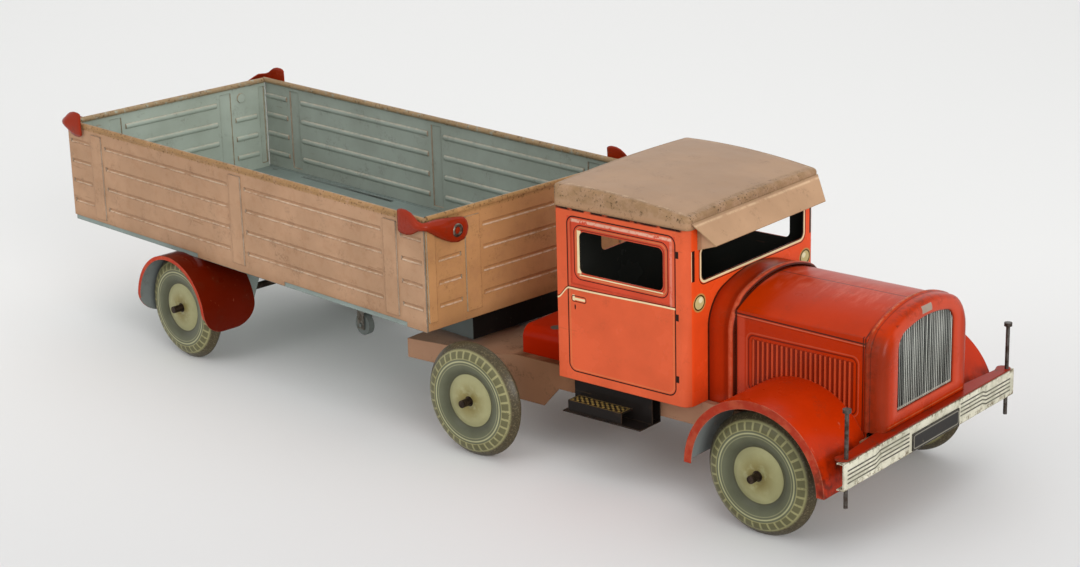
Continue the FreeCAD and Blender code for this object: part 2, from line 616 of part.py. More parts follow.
def walls():
    rows = range(int(size("rib_rows")))
    stops = ["bed_rear + rib_end"]
    for post in ("post_rear", "post_mid", "post_front"):
        stops += [f"{post} - post_width / 2 - rib_space", f"{post} + post_width / 2 + rib_space"]
    stops.append("bed_front - rib_end")
    side_ribs = [(low, high, row) for low, high in zip(stops[::2], stops[1::2]) for row in rows]
    for hand, sign in HANDS:
        face = f"0 {sign} (bed_half)"
        notches = [block(f"side_notch_{place}_{hand}", x,
                         span("0", sign, "bed_half - tin - 1", "bed_half + 1"),
                         ("bed_low - 1", "bed_low + notch_high"))
                   for place, x in (("rear", ("bed_rear - 1", "tab_rear")),
                                    ("front", ("tab_front", "nose_tab")))]
        node("bed_side_" + hand, "trailer", [pressed_wall(
            "side_" + hand, "x", face, sign, ("bed_rear", "bed_front"),
            ("bed_rear", "bed_front", f"{face} {sign} (tin / 2 - bead_radius)"),
            [(post, "post_width") for post in ("post_rear", "post_mid", "post_front")],
            side_ribs, notches)])
    end_post = "bed_half - end_post_inset"
    edge_post = "bed_half - edge_post_inset"
    inner = f"{end_post} - post_width / 2 - rib_space"
    outer = (f"{end_post} + post_width / 2 + rib_space",
             f"{edge_post} - edge_post_width / 2 - rib_space")
    end_ribs = [(f"-({inner})", inner, row) for row in rows]
    end_posts = []
    for hand, sign in HANDS:
        end_ribs += [(*span("0", sign, *outer), row) for row in rows[:-1]]
        end_posts += [(f"0 {sign} ({end_post})", "post_width"),
                      (f"0 {sign} ({edge_post})", "edge_post_width")]
    for end, face, sign in (("front", "bed_front", "+"), ("rear", "bed_rear", "-")):
        wall = pressed_wall(
            "end_" + end, "y", face, sign, ("-bed_half + 2 * tin", "bed_half - 2 * tin"),
            ("-bed_half + 2 * bead_radius + tin / 2", "bed_half - 2 * bead_radius - tin / 2",
             f"{face} {sign} (tin / 2 - bead_radius)"), end_posts, end_ribs)
        tails = [bar(f"rivet_tail_{end}_{hand}", "x", "rivet_radius",
                     *span(face, sign, "-tin - rivet_tail", "-tin"),
                     (f"0 {side} (bed_half - rivet_inset)", "bed_high - rivet_drop"))
                 for hand, side in HANDS]
        node("bed_end_" + end, "trailer", [join("end_riveted_" + end, [wall] + tails)])


# Corner latches: a strip riveted to the end wall and twisted round the corner onto the side.
def latches():
    neck = ("bed_high - neck_drop + latch_waist / 2", "bed_high - neck_drop - latch_waist / 2")
    rivet_z, lobe_z = "bed_high - rivet_drop", "bed_high - lobe_drop"
    for end, face, out in (("front", "bed_front", "+"), ("rear", "bed_rear", "-")):
        for hand, sign in HANDS:
            name = f"latch_{end}_{hand}"
            corner_x = f"{face} {out} post_depth"
            corner_y = f"0 {sign} (bed_half + post_depth)"
            rivet_y = f"0 {sign} (bed_half - rivet_inset)"
            lobe_x = f"{face} {out} (-latch_reach)"
            end_web = padded(name + "_end_web", "YZ_Plane", [
                (rivet_y, f"{rivet_z} + latch_lobe"), (corner_y, neck[0]), (corner_y, neck[1]),
                (f"{rivet_y} {sign} latch_lobe * 0.7", f"{rivet_z} - latch_lobe * 0.7"),
            ], "tin")
            end_web.setExpression("Placement.Base.x", linked(f"{face} {out} (post_depth - tin / 2)"))
            side_web = padded(name + "_side_web", "XZ_Plane", [
                (lobe_x, f"{lobe_z} + latch_lobe"), (corner_x, neck[0]), (corner_x, neck[1]),
                (f"{lobe_x} {out} latch_lobe * 0.5", f"{lobe_z} - latch_lobe * 0.85"),
            ], "tin")
            side_web.setExpression("Placement.Base.y", linked(
                f"0 {sign} (bed_half + post_depth - tin / 2)"))
            lobes = [
                bar(name + "_end_lobe", "x", "latch_lobe",
                    *span(face, out, "post_depth - tin", "post_depth"), (rivet_y, rivet_z)),
                bar(name + "_side_lobe", "y", "latch_lobe",
                    *span("0", sign, "bed_half + post_depth - tin", "bed_half + post_depth"),
                    (lobe_x, lobe_z)),
                bar(name + "_rivet", "x", "rivet_radius",
                    *span(face, out, "0", "post_depth + rivet_length"), (rivet_y, rivet_z)),
            ]
            node(name, "trailer", [join(name + "_whole", [end_web, side_web] + lobes)])


# Coupling: a folded bracket under the bed front with the king pin through the deck.
def coupling():
    y = ("-coupling_half", "coupling_half")
    x = ("coupling_rear", "coupling_front")
    box_out = block("coupling_block", x, y, ("coupling_base", "floor_under"))
    box_in = block("coupling_room", ("coupling_rear - 1", "coupling_front - tin"),
                   ("-coupling_half + tin", "coupling_half - tin"),
                   ("coupling_base + tin", "floor_under + 1"))
    hole = bar("coupling_hole", "z", "pin_radius", "coupling_base - 1", "coupling_base + 1",
               ("0", "0"))
    node("coupling_bracket", "trailer", [cut("coupling_sheet", box_out, [box_in, hole])])
    low = "chassis_top - kick_drop - tin - turn_gap - pin_head_length"
    shank = bar("pin_shank", "z", "pin_radius", low, "floor_under + tin", ("0", "0"))
    foot = bar("pin_foot", "z", "pin_head", low, f"{low} + pin_head_length", ("0", "0"))
    flange = bar("pin_flange", "z", "pin_head", "coupling_base + tin",
                 "coupling_base + tin + pin_head_length", ("0", "0"))
    node("king_pin", "trailer", [join("pin_turned", [shank, foot, flange])])


# Trailer axle carrier, a folded hanger, and the rear wings fixed on its sides.
def lower_corner(name, x, y, inward, low, radius):
    square = block(name + "_square", x, span(y, inward, "-1", radius),
                   (f"{low} - 1", f"{low} + {radius}"))
    disc = bar(name + "_disc", "x", radius, x[0] + " - 1", x[1] + " + 1",
               (f"{y} {inward} {radius}", f"{low} + {radius}"))
    return cut(name, square, [disc])


def carrier():
    side = [(f"trailer_axle {sign} {length} / 2", height) for sign, length, height in (
        ("-", "carrier_top", "floor_under"), ("-", "carrier_length", "carrier_low"),
        ("+", "carrier_length", "carrier_low"), ("+", "carrier_top", "floor_under"))]
    out = padded("carrier_block", "XZ_Plane", side, "2 * carrier_half")
    room = block("carrier_room", ("trailer_axle - carrier_top", "trailer_axle + carrier_top"),
                 ("-carrier_half + tin", "carrier_half - tin"),
                 ("carrier_low - 1", "floor_under - tin"))
    hole = bar("carrier_hole", "y", "axle_radius + axle_play", "-carrier_half - 1",
               "carrier_half + 1", ("trailer_axle", "wheel_radius"))
    node("axle_carrier", "trailer", [cut("carrier_sheet", out, [room, hole])])
    centre = ("trailer_axle", "wheel_radius")
    edge = "bed_half + wheel_out + guard_over"
    for hand, sign in HANDS:
        rings = [
            ring_above("guard_arch_" + hand, "guard_radius", "guard_radius - tin",
                       span("0", sign, "carrier_half", edge), centre, "guard_low"),
            ring_above("guard_edge_" + hand, "guard_radius", "guard_radius - guard_lip",
                       span("0", sign, f"{edge} - tin", edge), centre, "guard_low"),
        ]
        reach = ("trailer_axle - guard_radius - 1", "trailer_axle + guard_radius + 1")
        corners = [
            lower_corner("guard_root_" + hand, reach, f"0 {sign} carrier_half", sign,
                         "guard_low", "guard_round"),
            lower_corner("guard_tip_" + hand, reach, f"0 {sign} ({edge})",
                         "+" if sign == "-" else "-", "guard_low", "guard_round"),
        ]
        node("rear_wing_" + hand, "trailer", [cut("guard_sheet_" + hand, join(
            "guard_whole_" + hand, rings), corners)])


# Parking wheel in its fork, which holds the trailer up when it is unhitched.
def parking_wheel():
    cheeks = [block("fork_cheek_" + hand, ("park_x - fork_length / 2", "park_x + fork_length / 2"),
                    span("0", sign, "fork_half", "fork_half + tin"),
                    ("park_height - 2 * park_pin", "floor_under")) for hand, sign in HANDS]
    bridge = block("fork_bridge", ("park_x - fork_length / 2", "park_x + fork_length / 2"),
                   ("-fork_half - tin", "fork_half + tin"), ("floor_under - tin", "floor_under"))
    pin_hole = bar("fork_hole", "y", "park_pin + axle_play", "-fork_half - 2 * tin",
                   "fork_half + 2 * tin", ("park_x", "park_height"))
    node("parking_fork", "trailer", [cut("fork_sheet", join(
        "fork_whole", cheeks + [bridge]), [pin_hole])])
    tyre = bar("park_roller", "y", "park_radius", "-park_width / 2", "park_width / 2",
               ("park_x", "park_height"))
    pin = bar("park_pin_bar", "y", "park_pin", "-fork_half - 2 * tin", "fork_half + 2 * tin",
              ("park_x", "park_height"))
    node("parking_roller", "trailer", [join("roller_whole", [tyre, pin])])


chassis()
cab()
roof()
visor()
front_end()
wings()
bumper()
steps()
cover()
axle("rear_axle", "tractor", "0", "rear_face")
axle("front_axle", "tractor", "wheel_base", "front_face")
floor()
walls()
latches()
coupling()
carrier()
axle("trailer_axle", "trailer", "trailer_axle", "bed_half + wheel_out")
parking_wheel()
doc.recompute()

os.makedirs("parts", exist_ok=True)
for item in doc.Objects:
    if {"Invalid", "Error"} & set(item.State):
        raise SystemExit(f"{item.Name} did not build: {item.State}")
for piece in NODES:
    if piece.Shape.isNull() or not piece.Shape.isValid() or not piece.Shape.Solids:
        raise SystemExit(f"{piece.Label} has no valid solid")
for piece in NODES:
    piece.Shape.exportStep(f"parts/{piece.Label}.step")
    print(piece.Label, len(piece.Shape.Solids), round(piece.Shape.Volume, 1))
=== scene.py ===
import bpy
import bmesh
import json
import math
from mathutils import Matrix, Vector

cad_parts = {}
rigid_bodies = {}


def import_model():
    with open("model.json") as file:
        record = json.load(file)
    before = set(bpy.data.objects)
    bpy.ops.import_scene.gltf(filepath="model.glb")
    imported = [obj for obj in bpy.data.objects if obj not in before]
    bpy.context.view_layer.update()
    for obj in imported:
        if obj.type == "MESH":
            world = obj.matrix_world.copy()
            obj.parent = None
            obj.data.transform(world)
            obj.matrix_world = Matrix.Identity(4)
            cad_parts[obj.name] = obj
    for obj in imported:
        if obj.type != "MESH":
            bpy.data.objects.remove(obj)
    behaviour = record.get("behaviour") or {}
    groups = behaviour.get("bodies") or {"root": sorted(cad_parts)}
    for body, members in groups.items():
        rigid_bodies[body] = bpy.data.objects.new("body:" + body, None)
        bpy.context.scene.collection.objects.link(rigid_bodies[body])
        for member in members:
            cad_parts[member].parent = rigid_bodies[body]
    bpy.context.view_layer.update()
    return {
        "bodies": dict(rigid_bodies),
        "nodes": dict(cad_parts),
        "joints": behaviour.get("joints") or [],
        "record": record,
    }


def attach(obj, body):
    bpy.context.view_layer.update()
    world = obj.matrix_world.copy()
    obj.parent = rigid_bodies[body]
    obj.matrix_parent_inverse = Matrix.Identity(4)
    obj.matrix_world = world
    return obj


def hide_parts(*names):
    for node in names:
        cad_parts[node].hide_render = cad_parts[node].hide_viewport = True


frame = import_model()
nodes = frame["nodes"]


# The toy stands on a white studio sweep, seen from its right front corner and from above,
# through a long lens.
azimuth = math.radians(130.26)
elevation = math.radians(17.78)
roll = math.radians(-1.6)
ahead = Vector((math.cos(azimuth) * math.cos(elevation),
                math.sin(azimuth) * math.cos(elevation), -math.sin(elevation)))
level = Vector((math.sin(azimuth), -math.cos(azimuth), 0))
above = level.cross(ahead)
right = math.cos(roll) * level + math.sin(roll) * above
up = math.cos(roll) * above - math.sin(roll) * level
lens = bpy.data.cameras.new("camera")
lens.sensor_width = 36
lens.lens = 78.63
lens.shift_x = 0.0086
lens.shift_y = -0.0034
lens.clip_start = 0.01
camera = bpy.data.objects.new("camera", lens)
camera.matrix_world = (Matrix.Translation((0.652021, -0.743440, 0.365600))
                       @ Matrix((right, up, -ahead)).transposed().to_4x4())
bpy.context.scene.collection.objects.link(camera)
bpy.context.scene.camera = camera
bpy.context.scene.view_settings.view_transform = "Standard"


# The tractor is drawn from the rear axle's middle, the trailer from its king pin. Every
# pattern is placed in millimetres of one of these two, so it keeps to the tin when it moves.
turn = math.radians(-6.3)
tractor_place = Matrix.Translation((0.0478307, -0.0107803, 0))
trailer_place = Matrix.Translation((0.0128307, -0.0107803, 0)) @ Matrix.Rotation(turn, 4, "Z")


def linear(red, green, blue):
    """A colour as it is seen on the tin, made linear."""
    seen = [value / 255 for value in (red, green, blue)]
    return tuple([value / 12.92 if value < 0.04045 else ((value + 0.055) / 1.055) ** 2.4
                  for value in seen] + [1.0])


def blank_finish(name):
    """A new finish with its node tree and its one shader."""
    finish = bpy.data.materials.new(name)
    finish.use_nodes = True
    tree = finish.node_tree
    tree.nodes.clear()
    out = tree.nodes.new("ShaderNodeOutputMaterial")
    shader = tree.nodes.new("ShaderNodeBsdfPrincipled")
    tree.links.new(shader.outputs[0], out.inputs[0])
    return finish, tree, shader


def put(socket, value):
    """Links or sets one input."""
    if isinstance(value, bpy.types.NodeSocket):
        socket.id_data.links.new(value, socket)
    else:
        socket.default_value = value


def fill(node, values):
    """Links or sets inputs by their names."""
    for name, value in values.items():
        put(node.inputs[name], value)


def new_node(kind, *values):
    """A node in the tree that the linked ones of its values belong to."""
    linked = [value for value in values if isinstance(value, bpy.types.NodeSocket)]
    return linked[0].id_data.nodes.new(kind)


def sum_of(operation, *values, clamp=False):
    """One Math node."""
    node = new_node("ShaderNodeMath", *values)
    node.operation = operation
    node.use_clamp = clamp
    for socket, value in zip(node.inputs, values):
        put(socket, value)
    return node.outputs[0]


def vector_sum(operation, *values):
    """One Vector Math node; a length or a dot product comes out as a number."""
    node = new_node("ShaderNodeVectorMath", *values)
    node.operation = operation
    for socket, value in zip(node.inputs, values):
        put(socket, value)
    return node.outputs["Value" if operation in ("LENGTH", "DOT_PRODUCT") else "Vector"]


def spot_on(tree, place, stretch=(1, 1, 1)):
    """Millimetres in the tractor's or the trailer's own directions."""
    back = place.inverted()
    mapping = tree.nodes.new("ShaderNodeMapping")
    fill(mapping, {"Vector": tree.nodes.new("ShaderNodeTexCoord").outputs["Object"],
                   "Location": back.to_translation() * 1000, "Rotation": back.to_euler(),
                   "Scale": (1000, 1000, 1000)})
    if stretch == (1, 1, 1):
        return mapping.outputs[0]
    return vector_sum("MULTIPLY", mapping.outputs[0], stretch)


def axes_of(spot):
    """The three parts of a place or a direction."""
    node = new_node("ShaderNodeSeparateXYZ", spot)
    put(node.inputs[0], spot)
    return tuple(node.outputs)


def faded(value, start, end):
    """Rises smoothly from 0 at start to 1 at end."""
    node = new_node("ShaderNodeMapRange", value)
    node.interpolation_type = "SMOOTHSTEP"
    fill(node, {"Value": value, "From Min": start, "From Max": end})
    return node.outputs[0]


def between(value, low, high, soft=0.12):
    """One inside a band and nothing outside it, with a soft printed edge."""
    middle, half = (low + high) / 2, (high - low) / 2
    away = sum_of("ABSOLUTE", sum_of("SUBTRACT", value, middle))
    return faded(away, half + soft, half - soft)


def both(*masks):
    """Where all masks are on; a plain number weakens them."""
    whole = masks[0]
    for mask in masks[1:]:
        whole = sum_of("MULTIPLY", whole, mask)
    return whole


def either(*masks):
    """Where any mask is on."""
    whole = masks[0]
    for mask in masks[1:]:
        whole = sum_of("MAXIMUM", whole, mask)
    return whole


def inverse(mask):
    """On where the mask is off."""
    return sum_of("SUBTRACT", 1.0, mask)


def blended(amount, first, second, way="MIX"):
    """Two colours mixed by an amount; one of three numbers is a colour as seen on the tin."""
    node = new_node("ShaderNodeMix", amount, first, second)
    node.data_type = "RGBA"
    node.blend_type = way
    for name, value in (("Factor", amount), ("A", first), ("B", second)):
        seen = isinstance(value, tuple) and len(value) == 3
        put(node.inputs[name], linear(*value) if seen else value)
    return node.outputs["Result"]


def painted(base, paint, *masks):
    """A paint laid over a base where all masks are on."""
    return blended(both(*masks), base, paint)


def grain(spot, size, detail=3, rough=0.55):
    """Noise whose grain is that many millimetres."""
    node = new_node("ShaderNodeTexNoise", spot)
    fill(node, {"Vector": spot, "Scale": 1 / size, "Detail": detail, "Roughness": rough})
    return node.outputs[0]


def mottled(spot, start, end, *grains):
    """Patches of noise: 0 where it is below start and 1 where it is above end."""
    return faded(grain(spot, *grains), start, end)


def rounded(tree, width, samples):
    """The direction of a face as if its edges were round, within a width in millimetres."""
    turned = tree.nodes.new("ShaderNodeBevel")
    turned.samples = samples
    turned.inputs["Radius"].default_value = width / 1000
    return turned.outputs[0]


def bumped(shader, height, strength, distance):
    """Raises a finish by a height and gives back the Bump node; the distance is in metres."""
    bump = new_node("ShaderNodeBump", height)
    fill(bump, {"Height": height, "Strength": strength, "Distance": distance})
    put(shader.inputs["Normal"], bump.outputs[0])
    return bump


def worn_edges(tree, width):
    """Where the tin turns a sharp corner, within a width in millimetres."""
    plain = tree.nodes.new("ShaderNodeNewGeometry").outputs["Normal"]
    return faded(vector_sum("DOT_PRODUCT", rounded(tree, width, 6), plain), 0.985, 0.86)


def tin(name, place, paint, bare, gloss=0.36, wear=0.5, scratches=0.35, dirt=0.3, dents=0.5,
        printed=None, relief=None, coat=0.05):
    """Varnished and printed tin: a paint, worn to another colour at its edges and scratches.
    printed(spot, paint) draws on the paint, and relief(spot) is a height that is pressed in."""
    finish, tree, shader = blank_finish(name)
    spot = spot_on(tree, place)
    cloud = grain(spot, 26, 4)
    speck = grain(spot, 1.1, 3, 0.7)
    scratch = grain(spot_on(tree, place, (0.05, 0.9, 0.45)), 1.3, 4, 0.62)
    base = printed(spot, paint) if printed else paint
    shade = blended(faded(cloud, 0.3, 0.72), (0.87, 0.86, 0.84, 1), (1.05, 1.05, 1.05, 1))
    base = blended(1.0, base, shade, "MULTIPLY")
    grime = both(mottled(spot, 0.52, 0.72, 9, 5, 0.65), faded(speck, 0.42, 0.6))
    base = painted(base, (72, 52, 36), grime, dirt)
    marks = faded(scratch, 0.665, 0.72)
    edges = both(worn_edges(tree, 0.55), mottled(spot, 0.36, 0.58, 3.2, 4, 0.7))
    chips = mottled(spot, 0.74, 0.79, 2.1, 5, 0.75)
    bared = either(both(edges, wear), both(marks, scratches), both(chips, wear))
    base = blended(bared, base, bare)
    dull = sum_of("MULTIPLY_ADD", cloud, 0.22, gloss - 0.11)
    fill(shader, {"Base Color": base, "Specular IOR Level": 0.07, "Coat Weight": coat,
                  "Coat Roughness": 0.12,
                  "Roughness": sum_of("MULTIPLY_ADD", bared, 0.2, dull, clamp=True)})
    height = both(grain(spot, 17, 2, 0.4), dents)
    height = sum_of("MULTIPLY_ADD", speck, 0.02, height)
    height = sum_of("MULTIPLY_ADD", bared, -0.03, height)
    if relief:
        height = sum_of("ADD", height, relief(spot))
    bump = bumped(shader, height, 0.8, 0.001)
    put(bump.inputs["Normal"], rounded(tree, 0.4, 4))
    return finish


def outlook(place, spot, middle, along=(1, 1, 1)):
    """How far a face looks away from a middle point, below 0 where it looks at it, and the
    three parts of the direction that it faces."""
    facing = new_node("ShaderNodeMapping", spot)
    plain = new_node("ShaderNodeTexCoord", spot).outputs["Normal"]
    fill(facing, {"Vector": plain, "Rotation": place.inverted().to_euler()})
    away = vector_sum("MULTIPLY", vector_sum("SUBTRACT", spot, middle), along)
    return vector_sum("DOT_PRODUCT", facing.outputs[0], away), axes_of(facing.outputs[0])


def dress(names, finish):
    """A carried-over solid: its triangles welded, its curved faces smooth, and its finish."""
    for name in names:
        piece = nodes[name]
        piece.data.materials.clear()
        piece.data.materials.append(finish)
        piece.data.shade_smooth()
        weld = piece.modifiers.new("weld", "WELD")
        weld.merge_threshold = 0.000002
        split = piece.modifiers.new("creases", "EDGE_SPLIT")
        split.split_angle = math.radians(28)


# Chassis and apron: one folded channel of pinkish tan tin, dirty and worn on its folds. Its
# deck behind the cab is dark with patchy grime and a painted shadow of the trailer bed, and its
# flank ahead of the rear axle is browner.
pink_tan = (170, 130, 103)


def chassis_print(spot, paint):
    x, _, z = axes_of(spot)
    # Painted shadow of the trailer bed on the deck, in patches with grime.
    deck = both(faded(z, 37.6, 37.9), faded(x, 60, 30), mottled(spot, 0.3, 0.6, 16, 4, 0.6))
    base = painted(paint, (52, 34, 25), deck, 0.92)
    flank = both(faded(x, -16, 14), faded(x, 60, 44))
    return painted(base, (104, 62, 32), flank, 0.6)


chassis_finish = tin("chassis_tin", tractor_place, pink_tan, (120, 92, 70), gloss=0.42, wear=0.75,
                     dirt=0.75, printed=chassis_print)
dress(["chassis", "apron"], chassis_finish)


# Cab: a box of orange-red tin with its doors, hinges, handles, window frames and belt lines
# printed on it, and a near-black inside that is painted shade. Its front is a redder orange
# painted brighter than the tin, a painted light, and a broken line along the sides under the
# roof rim is a painted shadow.
cab_red = (212, 92, 56)
cream = (228, 212, 168)
ink = (40, 22, 16)
door_x, door_top = (40.0, 92.8), 106.4
lamp_middle = (36.4, 79.3)


def frame_line(across, height, x, z, radius, width, soft=0.12):
    """A printed line that follows a rectangle with round corners."""
    half = ((x[1] - x[0]) / 2 - radius, (z[1] - z[0]) / 2 - radius)
    parts = []
    for value, middle, reach in ((across, sum(x) / 2, half[0]), (height, sum(z) / 2, half[1])):
        away = sum_of("ABSOLUTE", sum_of("SUBTRACT", value, middle))
        parts.append(sum_of("MAXIMUM", sum_of("SUBTRACT", away, reach), 0.0))
    corner = new_node("ShaderNodeCombineXYZ", *parts)
    fill(corner, {"X": parts[0], "Y": parts[1]})
    away = vector_sum("LENGTH", corner.outputs[0])
    return between(away, radius - width / 2, radius + width / 2, soft)


def oval(across, height, middle, reach, soft=0.1):
    """A printed oval, 1 inside and 0 outside."""
    parts = []
    for value, centre, half in ((across, middle[0], reach[0]), (height, middle[1], reach[1])):
        off = sum_of("DIVIDE", sum_of("SUBTRACT", value, centre), half)
        parts.append(sum_of("POWER", sum_of("ABSOLUTE", off), 2.0))
    return faded(sum_of("ADD", *parts), 1 + soft, 1 - soft)


def cab_print(spot, paint):
    x, y, z = axes_of(spot)
    side = sum_of("ABSOLUTE", y)
    outward, _ = outlook(tractor_place, spot, (66.7, 0, 74))
    on_side = both(faded(side, 43.2, 43.4), faded(x, 96.4, 95.4))
    on_front = faded(x, 98.6, 98.8)
    upper = both(between(x, *door_x), between(z, 77.0, door_top), on_side)
    base = painted(paint, (196, 66, 44), upper, 0.8)
    # Painted light: the front face is a redder orange painted brighter than the tin.
    base = painted(base, (232, 78, 28), on_front, 0.9)
    belt = sum_of("MULTIPLY_ADD", faded(x, 34.5, 40.5), 4.9, 71.6)
    belt = sum_of("MULTIPLY_ADD", faded(x, 42, 94), 0.9, belt)
    off_belt = sum_of("SUBTRACT", z, belt)
    up_to_hinge = faded(x, 92.9, 92.6)
    side_lines_and_rim_shadow = either(frame_line(x, z, door_x, (41.8, door_top), 3.4, 0.55),
                       frame_line(x, z, (43.5, 89.4), (80.9, 103.2), 3.4, 0.4),
                       both(frame_line(x, z, (45.6, 87.5), (83.0, 101.4), 2.7, 0.35), 0.8),
                       both(between(x, 93.0, 94.4),
                            either(between(z, 97.9, 100.7), between(z, 72.8, 75.6),
                                   between(z, 47.6, 50.4))),
                       both(between(off_belt, 0.5, 0.85), up_to_hinge),
                       # Painted shadow: a broken dark line on the sides under the roof rim.
                       both(between(z, 108.6, 110.2, 0.3), mottled(spot, 0.3, 0.5, 5, 3)))
    gold_side = either(frame_line(x, z, (41.0, 91.9), (42.7, 105.5), 2.8, 0.25),
                       frame_line(x, z, (44.4, 88.5), (81.8, 102.4), 3.0, 0.5))
    cream_side = either(both(between(x, 45.0, 46.9), between(z, 83.4, 101.0)),
                        both(between(z, 82.5, 83.0), between(x, 46.0, 87.0)),
                        both(between(off_belt, -0.3, 0.35), up_to_hinge))
    handle = either(both(between(x, 42.2, 48.4), between(z, 71.9, 72.9)),
                    both(between(x, 42.2, 43.3), between(z, 71.6, 74.0)))
    shut = either(oval(x, z, (43.4, 69.0), (0.35, 1.1)),
                  frame_line(x, z, (41.8, 48.9), (71.3, 73.6), 0.9, 0.35))
    base = painted(base, (196, 140, 86), on_side, gold_side, 0.55)
    base = painted(base, ink, on_side, side_lines_and_rim_shadow)
    base = painted(base, cream, on_side, either(cream_side, handle))
    base = painted(base, ink, on_side, shut)
    rubbed = both(on_side, mottled(spot, 0.36, 0.5, 3.4, 5, 0.7),
                  either(both(between(z, 104.2, 105.4, 0.3), between(x, 42, 91)),
                         both(between(x, 90.2, 91.4, 0.3), between(z, 78, 105), 0.4)))
    base = painted(base, (224, 180, 158), rubbed, 0.8)
    screen = frame_line(y, z, (-35.6, 35.6), (87.1, 101.5), 3.0, 0.95)
    lamp = oval(side, z, lamp_middle, (2.9, 2.6))
    lamp_ring = oval(side, z, lamp_middle, (4.1, 3.7))
    lamp_shine = oval(side, z, (35.6, 80.2), (1.3, 1.1), 0.5)
    slot = both(between(side, 40.9, 41.9), between(z, 88.8, 100.7))
    inked = either(frame_line(y, z, (-36.5, 36.5), (86.2, 102.4), 3.6, 0.4),
                   frame_line(y, z, (-34.9, 34.9), (87.8, 100.8), 2.4, 0.5),
                   both(oval(side, z, lamp_middle, (3.5, 3.1)), inverse(lamp)),
                   both(between(side, 39.4, 40.9), between(z, 88.6, 101.0)))
    base = painted(base, (186, 140, 76), on_front, lamp_ring)
    base = painted(base, cream, on_front, either(screen, slot))
    base = painted(base, (200, 188, 130), on_front, lamp)
    base = painted(base, ink, on_front, inked)
    base = painted(base, (232, 228, 190), on_front, lamp_shine)
    # Painted shade: the faces inside the cab are painted near black.
    inside = faded(outward, 0.5, -0.5)
    return blended(inside, base, (46, 47, 44))


def cab_height(spot):
    x, y, z = axes_of(spot)
    on_side = faded(sum_of("ABSOLUTE", y), 43.2, 43.4)
    raised = both(between(x, 42.0, 91.2, 0.5), between(z, 78.6, 105.2, 0.5))
    sunk = both(between(x, 44.6, 88.4, 0.5), between(z, 81.8, 102.2, 0.5))
    bead = sum_of("SUBTRACT", raised, both(sunk, 0.6))
    return both(on_side, bead, 0.5)


dress(["cab"], tin("cab_tin", tractor_place, cab_red, (104, 62, 42), gloss=0.26, wear=0.5,
                   scratches=0.2, dirt=0.15, dents=0.3, printed=cab_print, relief=cab_height))


# Roof: one shallow pressing of tan tin with a rolled-down rim, scuffed brown along its edges,
# and the same tin bent into the sun visor below its front. The rim carries painted shade, the
# shoulder a broken painted highlight along its crest, and the visor is painted lighter, a
# painted light, with a painted highlight along its crease.
tan = (166, 134, 106)
worn_brown = (134, 104, 66)
roof_middle, roof_half = 66.75, (33.25, 44.6)


def thickened(piece, offset=-1):
    """Gives a piece the thickness of the tin: inward, or half each way at an offset of 0."""
    sheet = piece.modifiers.new("tin", "SOLIDIFY")
    sheet.thickness = 0.0005
    sheet.offset = offset


def quarter_turn(steps):
    """Angles from 0 to a right angle."""
    return [math.pi / 2 * step / steps for step in range(steps + 1)]


def laid_out(name, build, place, finish, body, smooth=True):
    """A piece from its mesh, set in its place in the row, with its finish and its body."""
    mesh = bpy.data.meshes.new(name)
    build.transform(place @ Matrix.Scale(0.001, 4))
    bmesh.ops.recalc_face_normals(build, faces=build.faces)
    build.to_mesh(mesh)
    build.free()
    piece = bpy.data.objects.new(name, mesh)
    bpy.context.scene.collection.objects.link(piece)
    mesh.materials.append(finish)
    if smooth:
        mesh.shade_smooth()
    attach(piece, body)
    return piece


def hoop(build, corners):
    """A closed line of edges through its corners."""
    verts = [build.verts.new(corner) for corner in corners]
    return [build.edges.new((a, b)) for a, b in zip(verts, verts[1:] + verts[:1])]


def skinned(lines):
    """Sheet metal stretched over closed lines that follow one another."""
    build = bmesh.new()
    hoops = [hoop(build, corners) for corners in lines]
    for first, second in zip(hoops, hoops[1:]):
        bmesh.ops.bridge_loops(build, edges=first + second)
    return build


def roof_height(x, y):
    """The crown across and the bow from back to front."""
    return 119.8 - (x - 48) ** 2 / 660 - y ** 2 / 2000


def roof_line(inset, fall=None, height=None):
    """A rectangle with round corners, in from the rim, at a height or below the crown."""
    reach = (roof_half[0] - inset, roof_half[1] - inset)
    corner = max(2.4 - inset, 0.4)
    turns = []
    for quarter, (way_x, way_y) in enumerate(((1, 1), (-1, 1), (-1, -1), (1, -1))):
        for step in range(5):
            angle = math.pi / 2 * (quarter + step / 4)
            turns.append((roof_middle + way_x * (reach[0] - corner) + corner * math.cos(angle),
                          way_y * (reach[1] - corner) + corner * math.sin(angle)))
    line = []
    for index, (a, b) in enumerate(zip(turns, turns[1:] + turns[:1])):
        parts = 12 if index % 5 == 4 else 1
        line += [[c + (d - c) * step / parts for c, d in zip(a, b)] for step in range(parts)]
    return [(x, y, roof_height(x, y) - fall if height is None else height) for x, y in line]


rim = [roof_line(0, height=height) for height in (109.9, 111.0)]
shoulder = [roof_line(1.7 * (1 - math.cos(angle)), fall=1.5 * (1 - math.sin(angle)))
            for angle in quarter_turn(6)]
crown = [roof_line(inset, fall=0) for inset in (7, 11, 16, 21, 26, 30, 32.4)]
roof = skinned(rim + shoulder + crown)
hole = [edge for edge in roof.edges if edge.is_boundary and edge.verts[0].co.z > 118]
bmesh.ops.holes_fill(roof, edges=hole, sides=0)


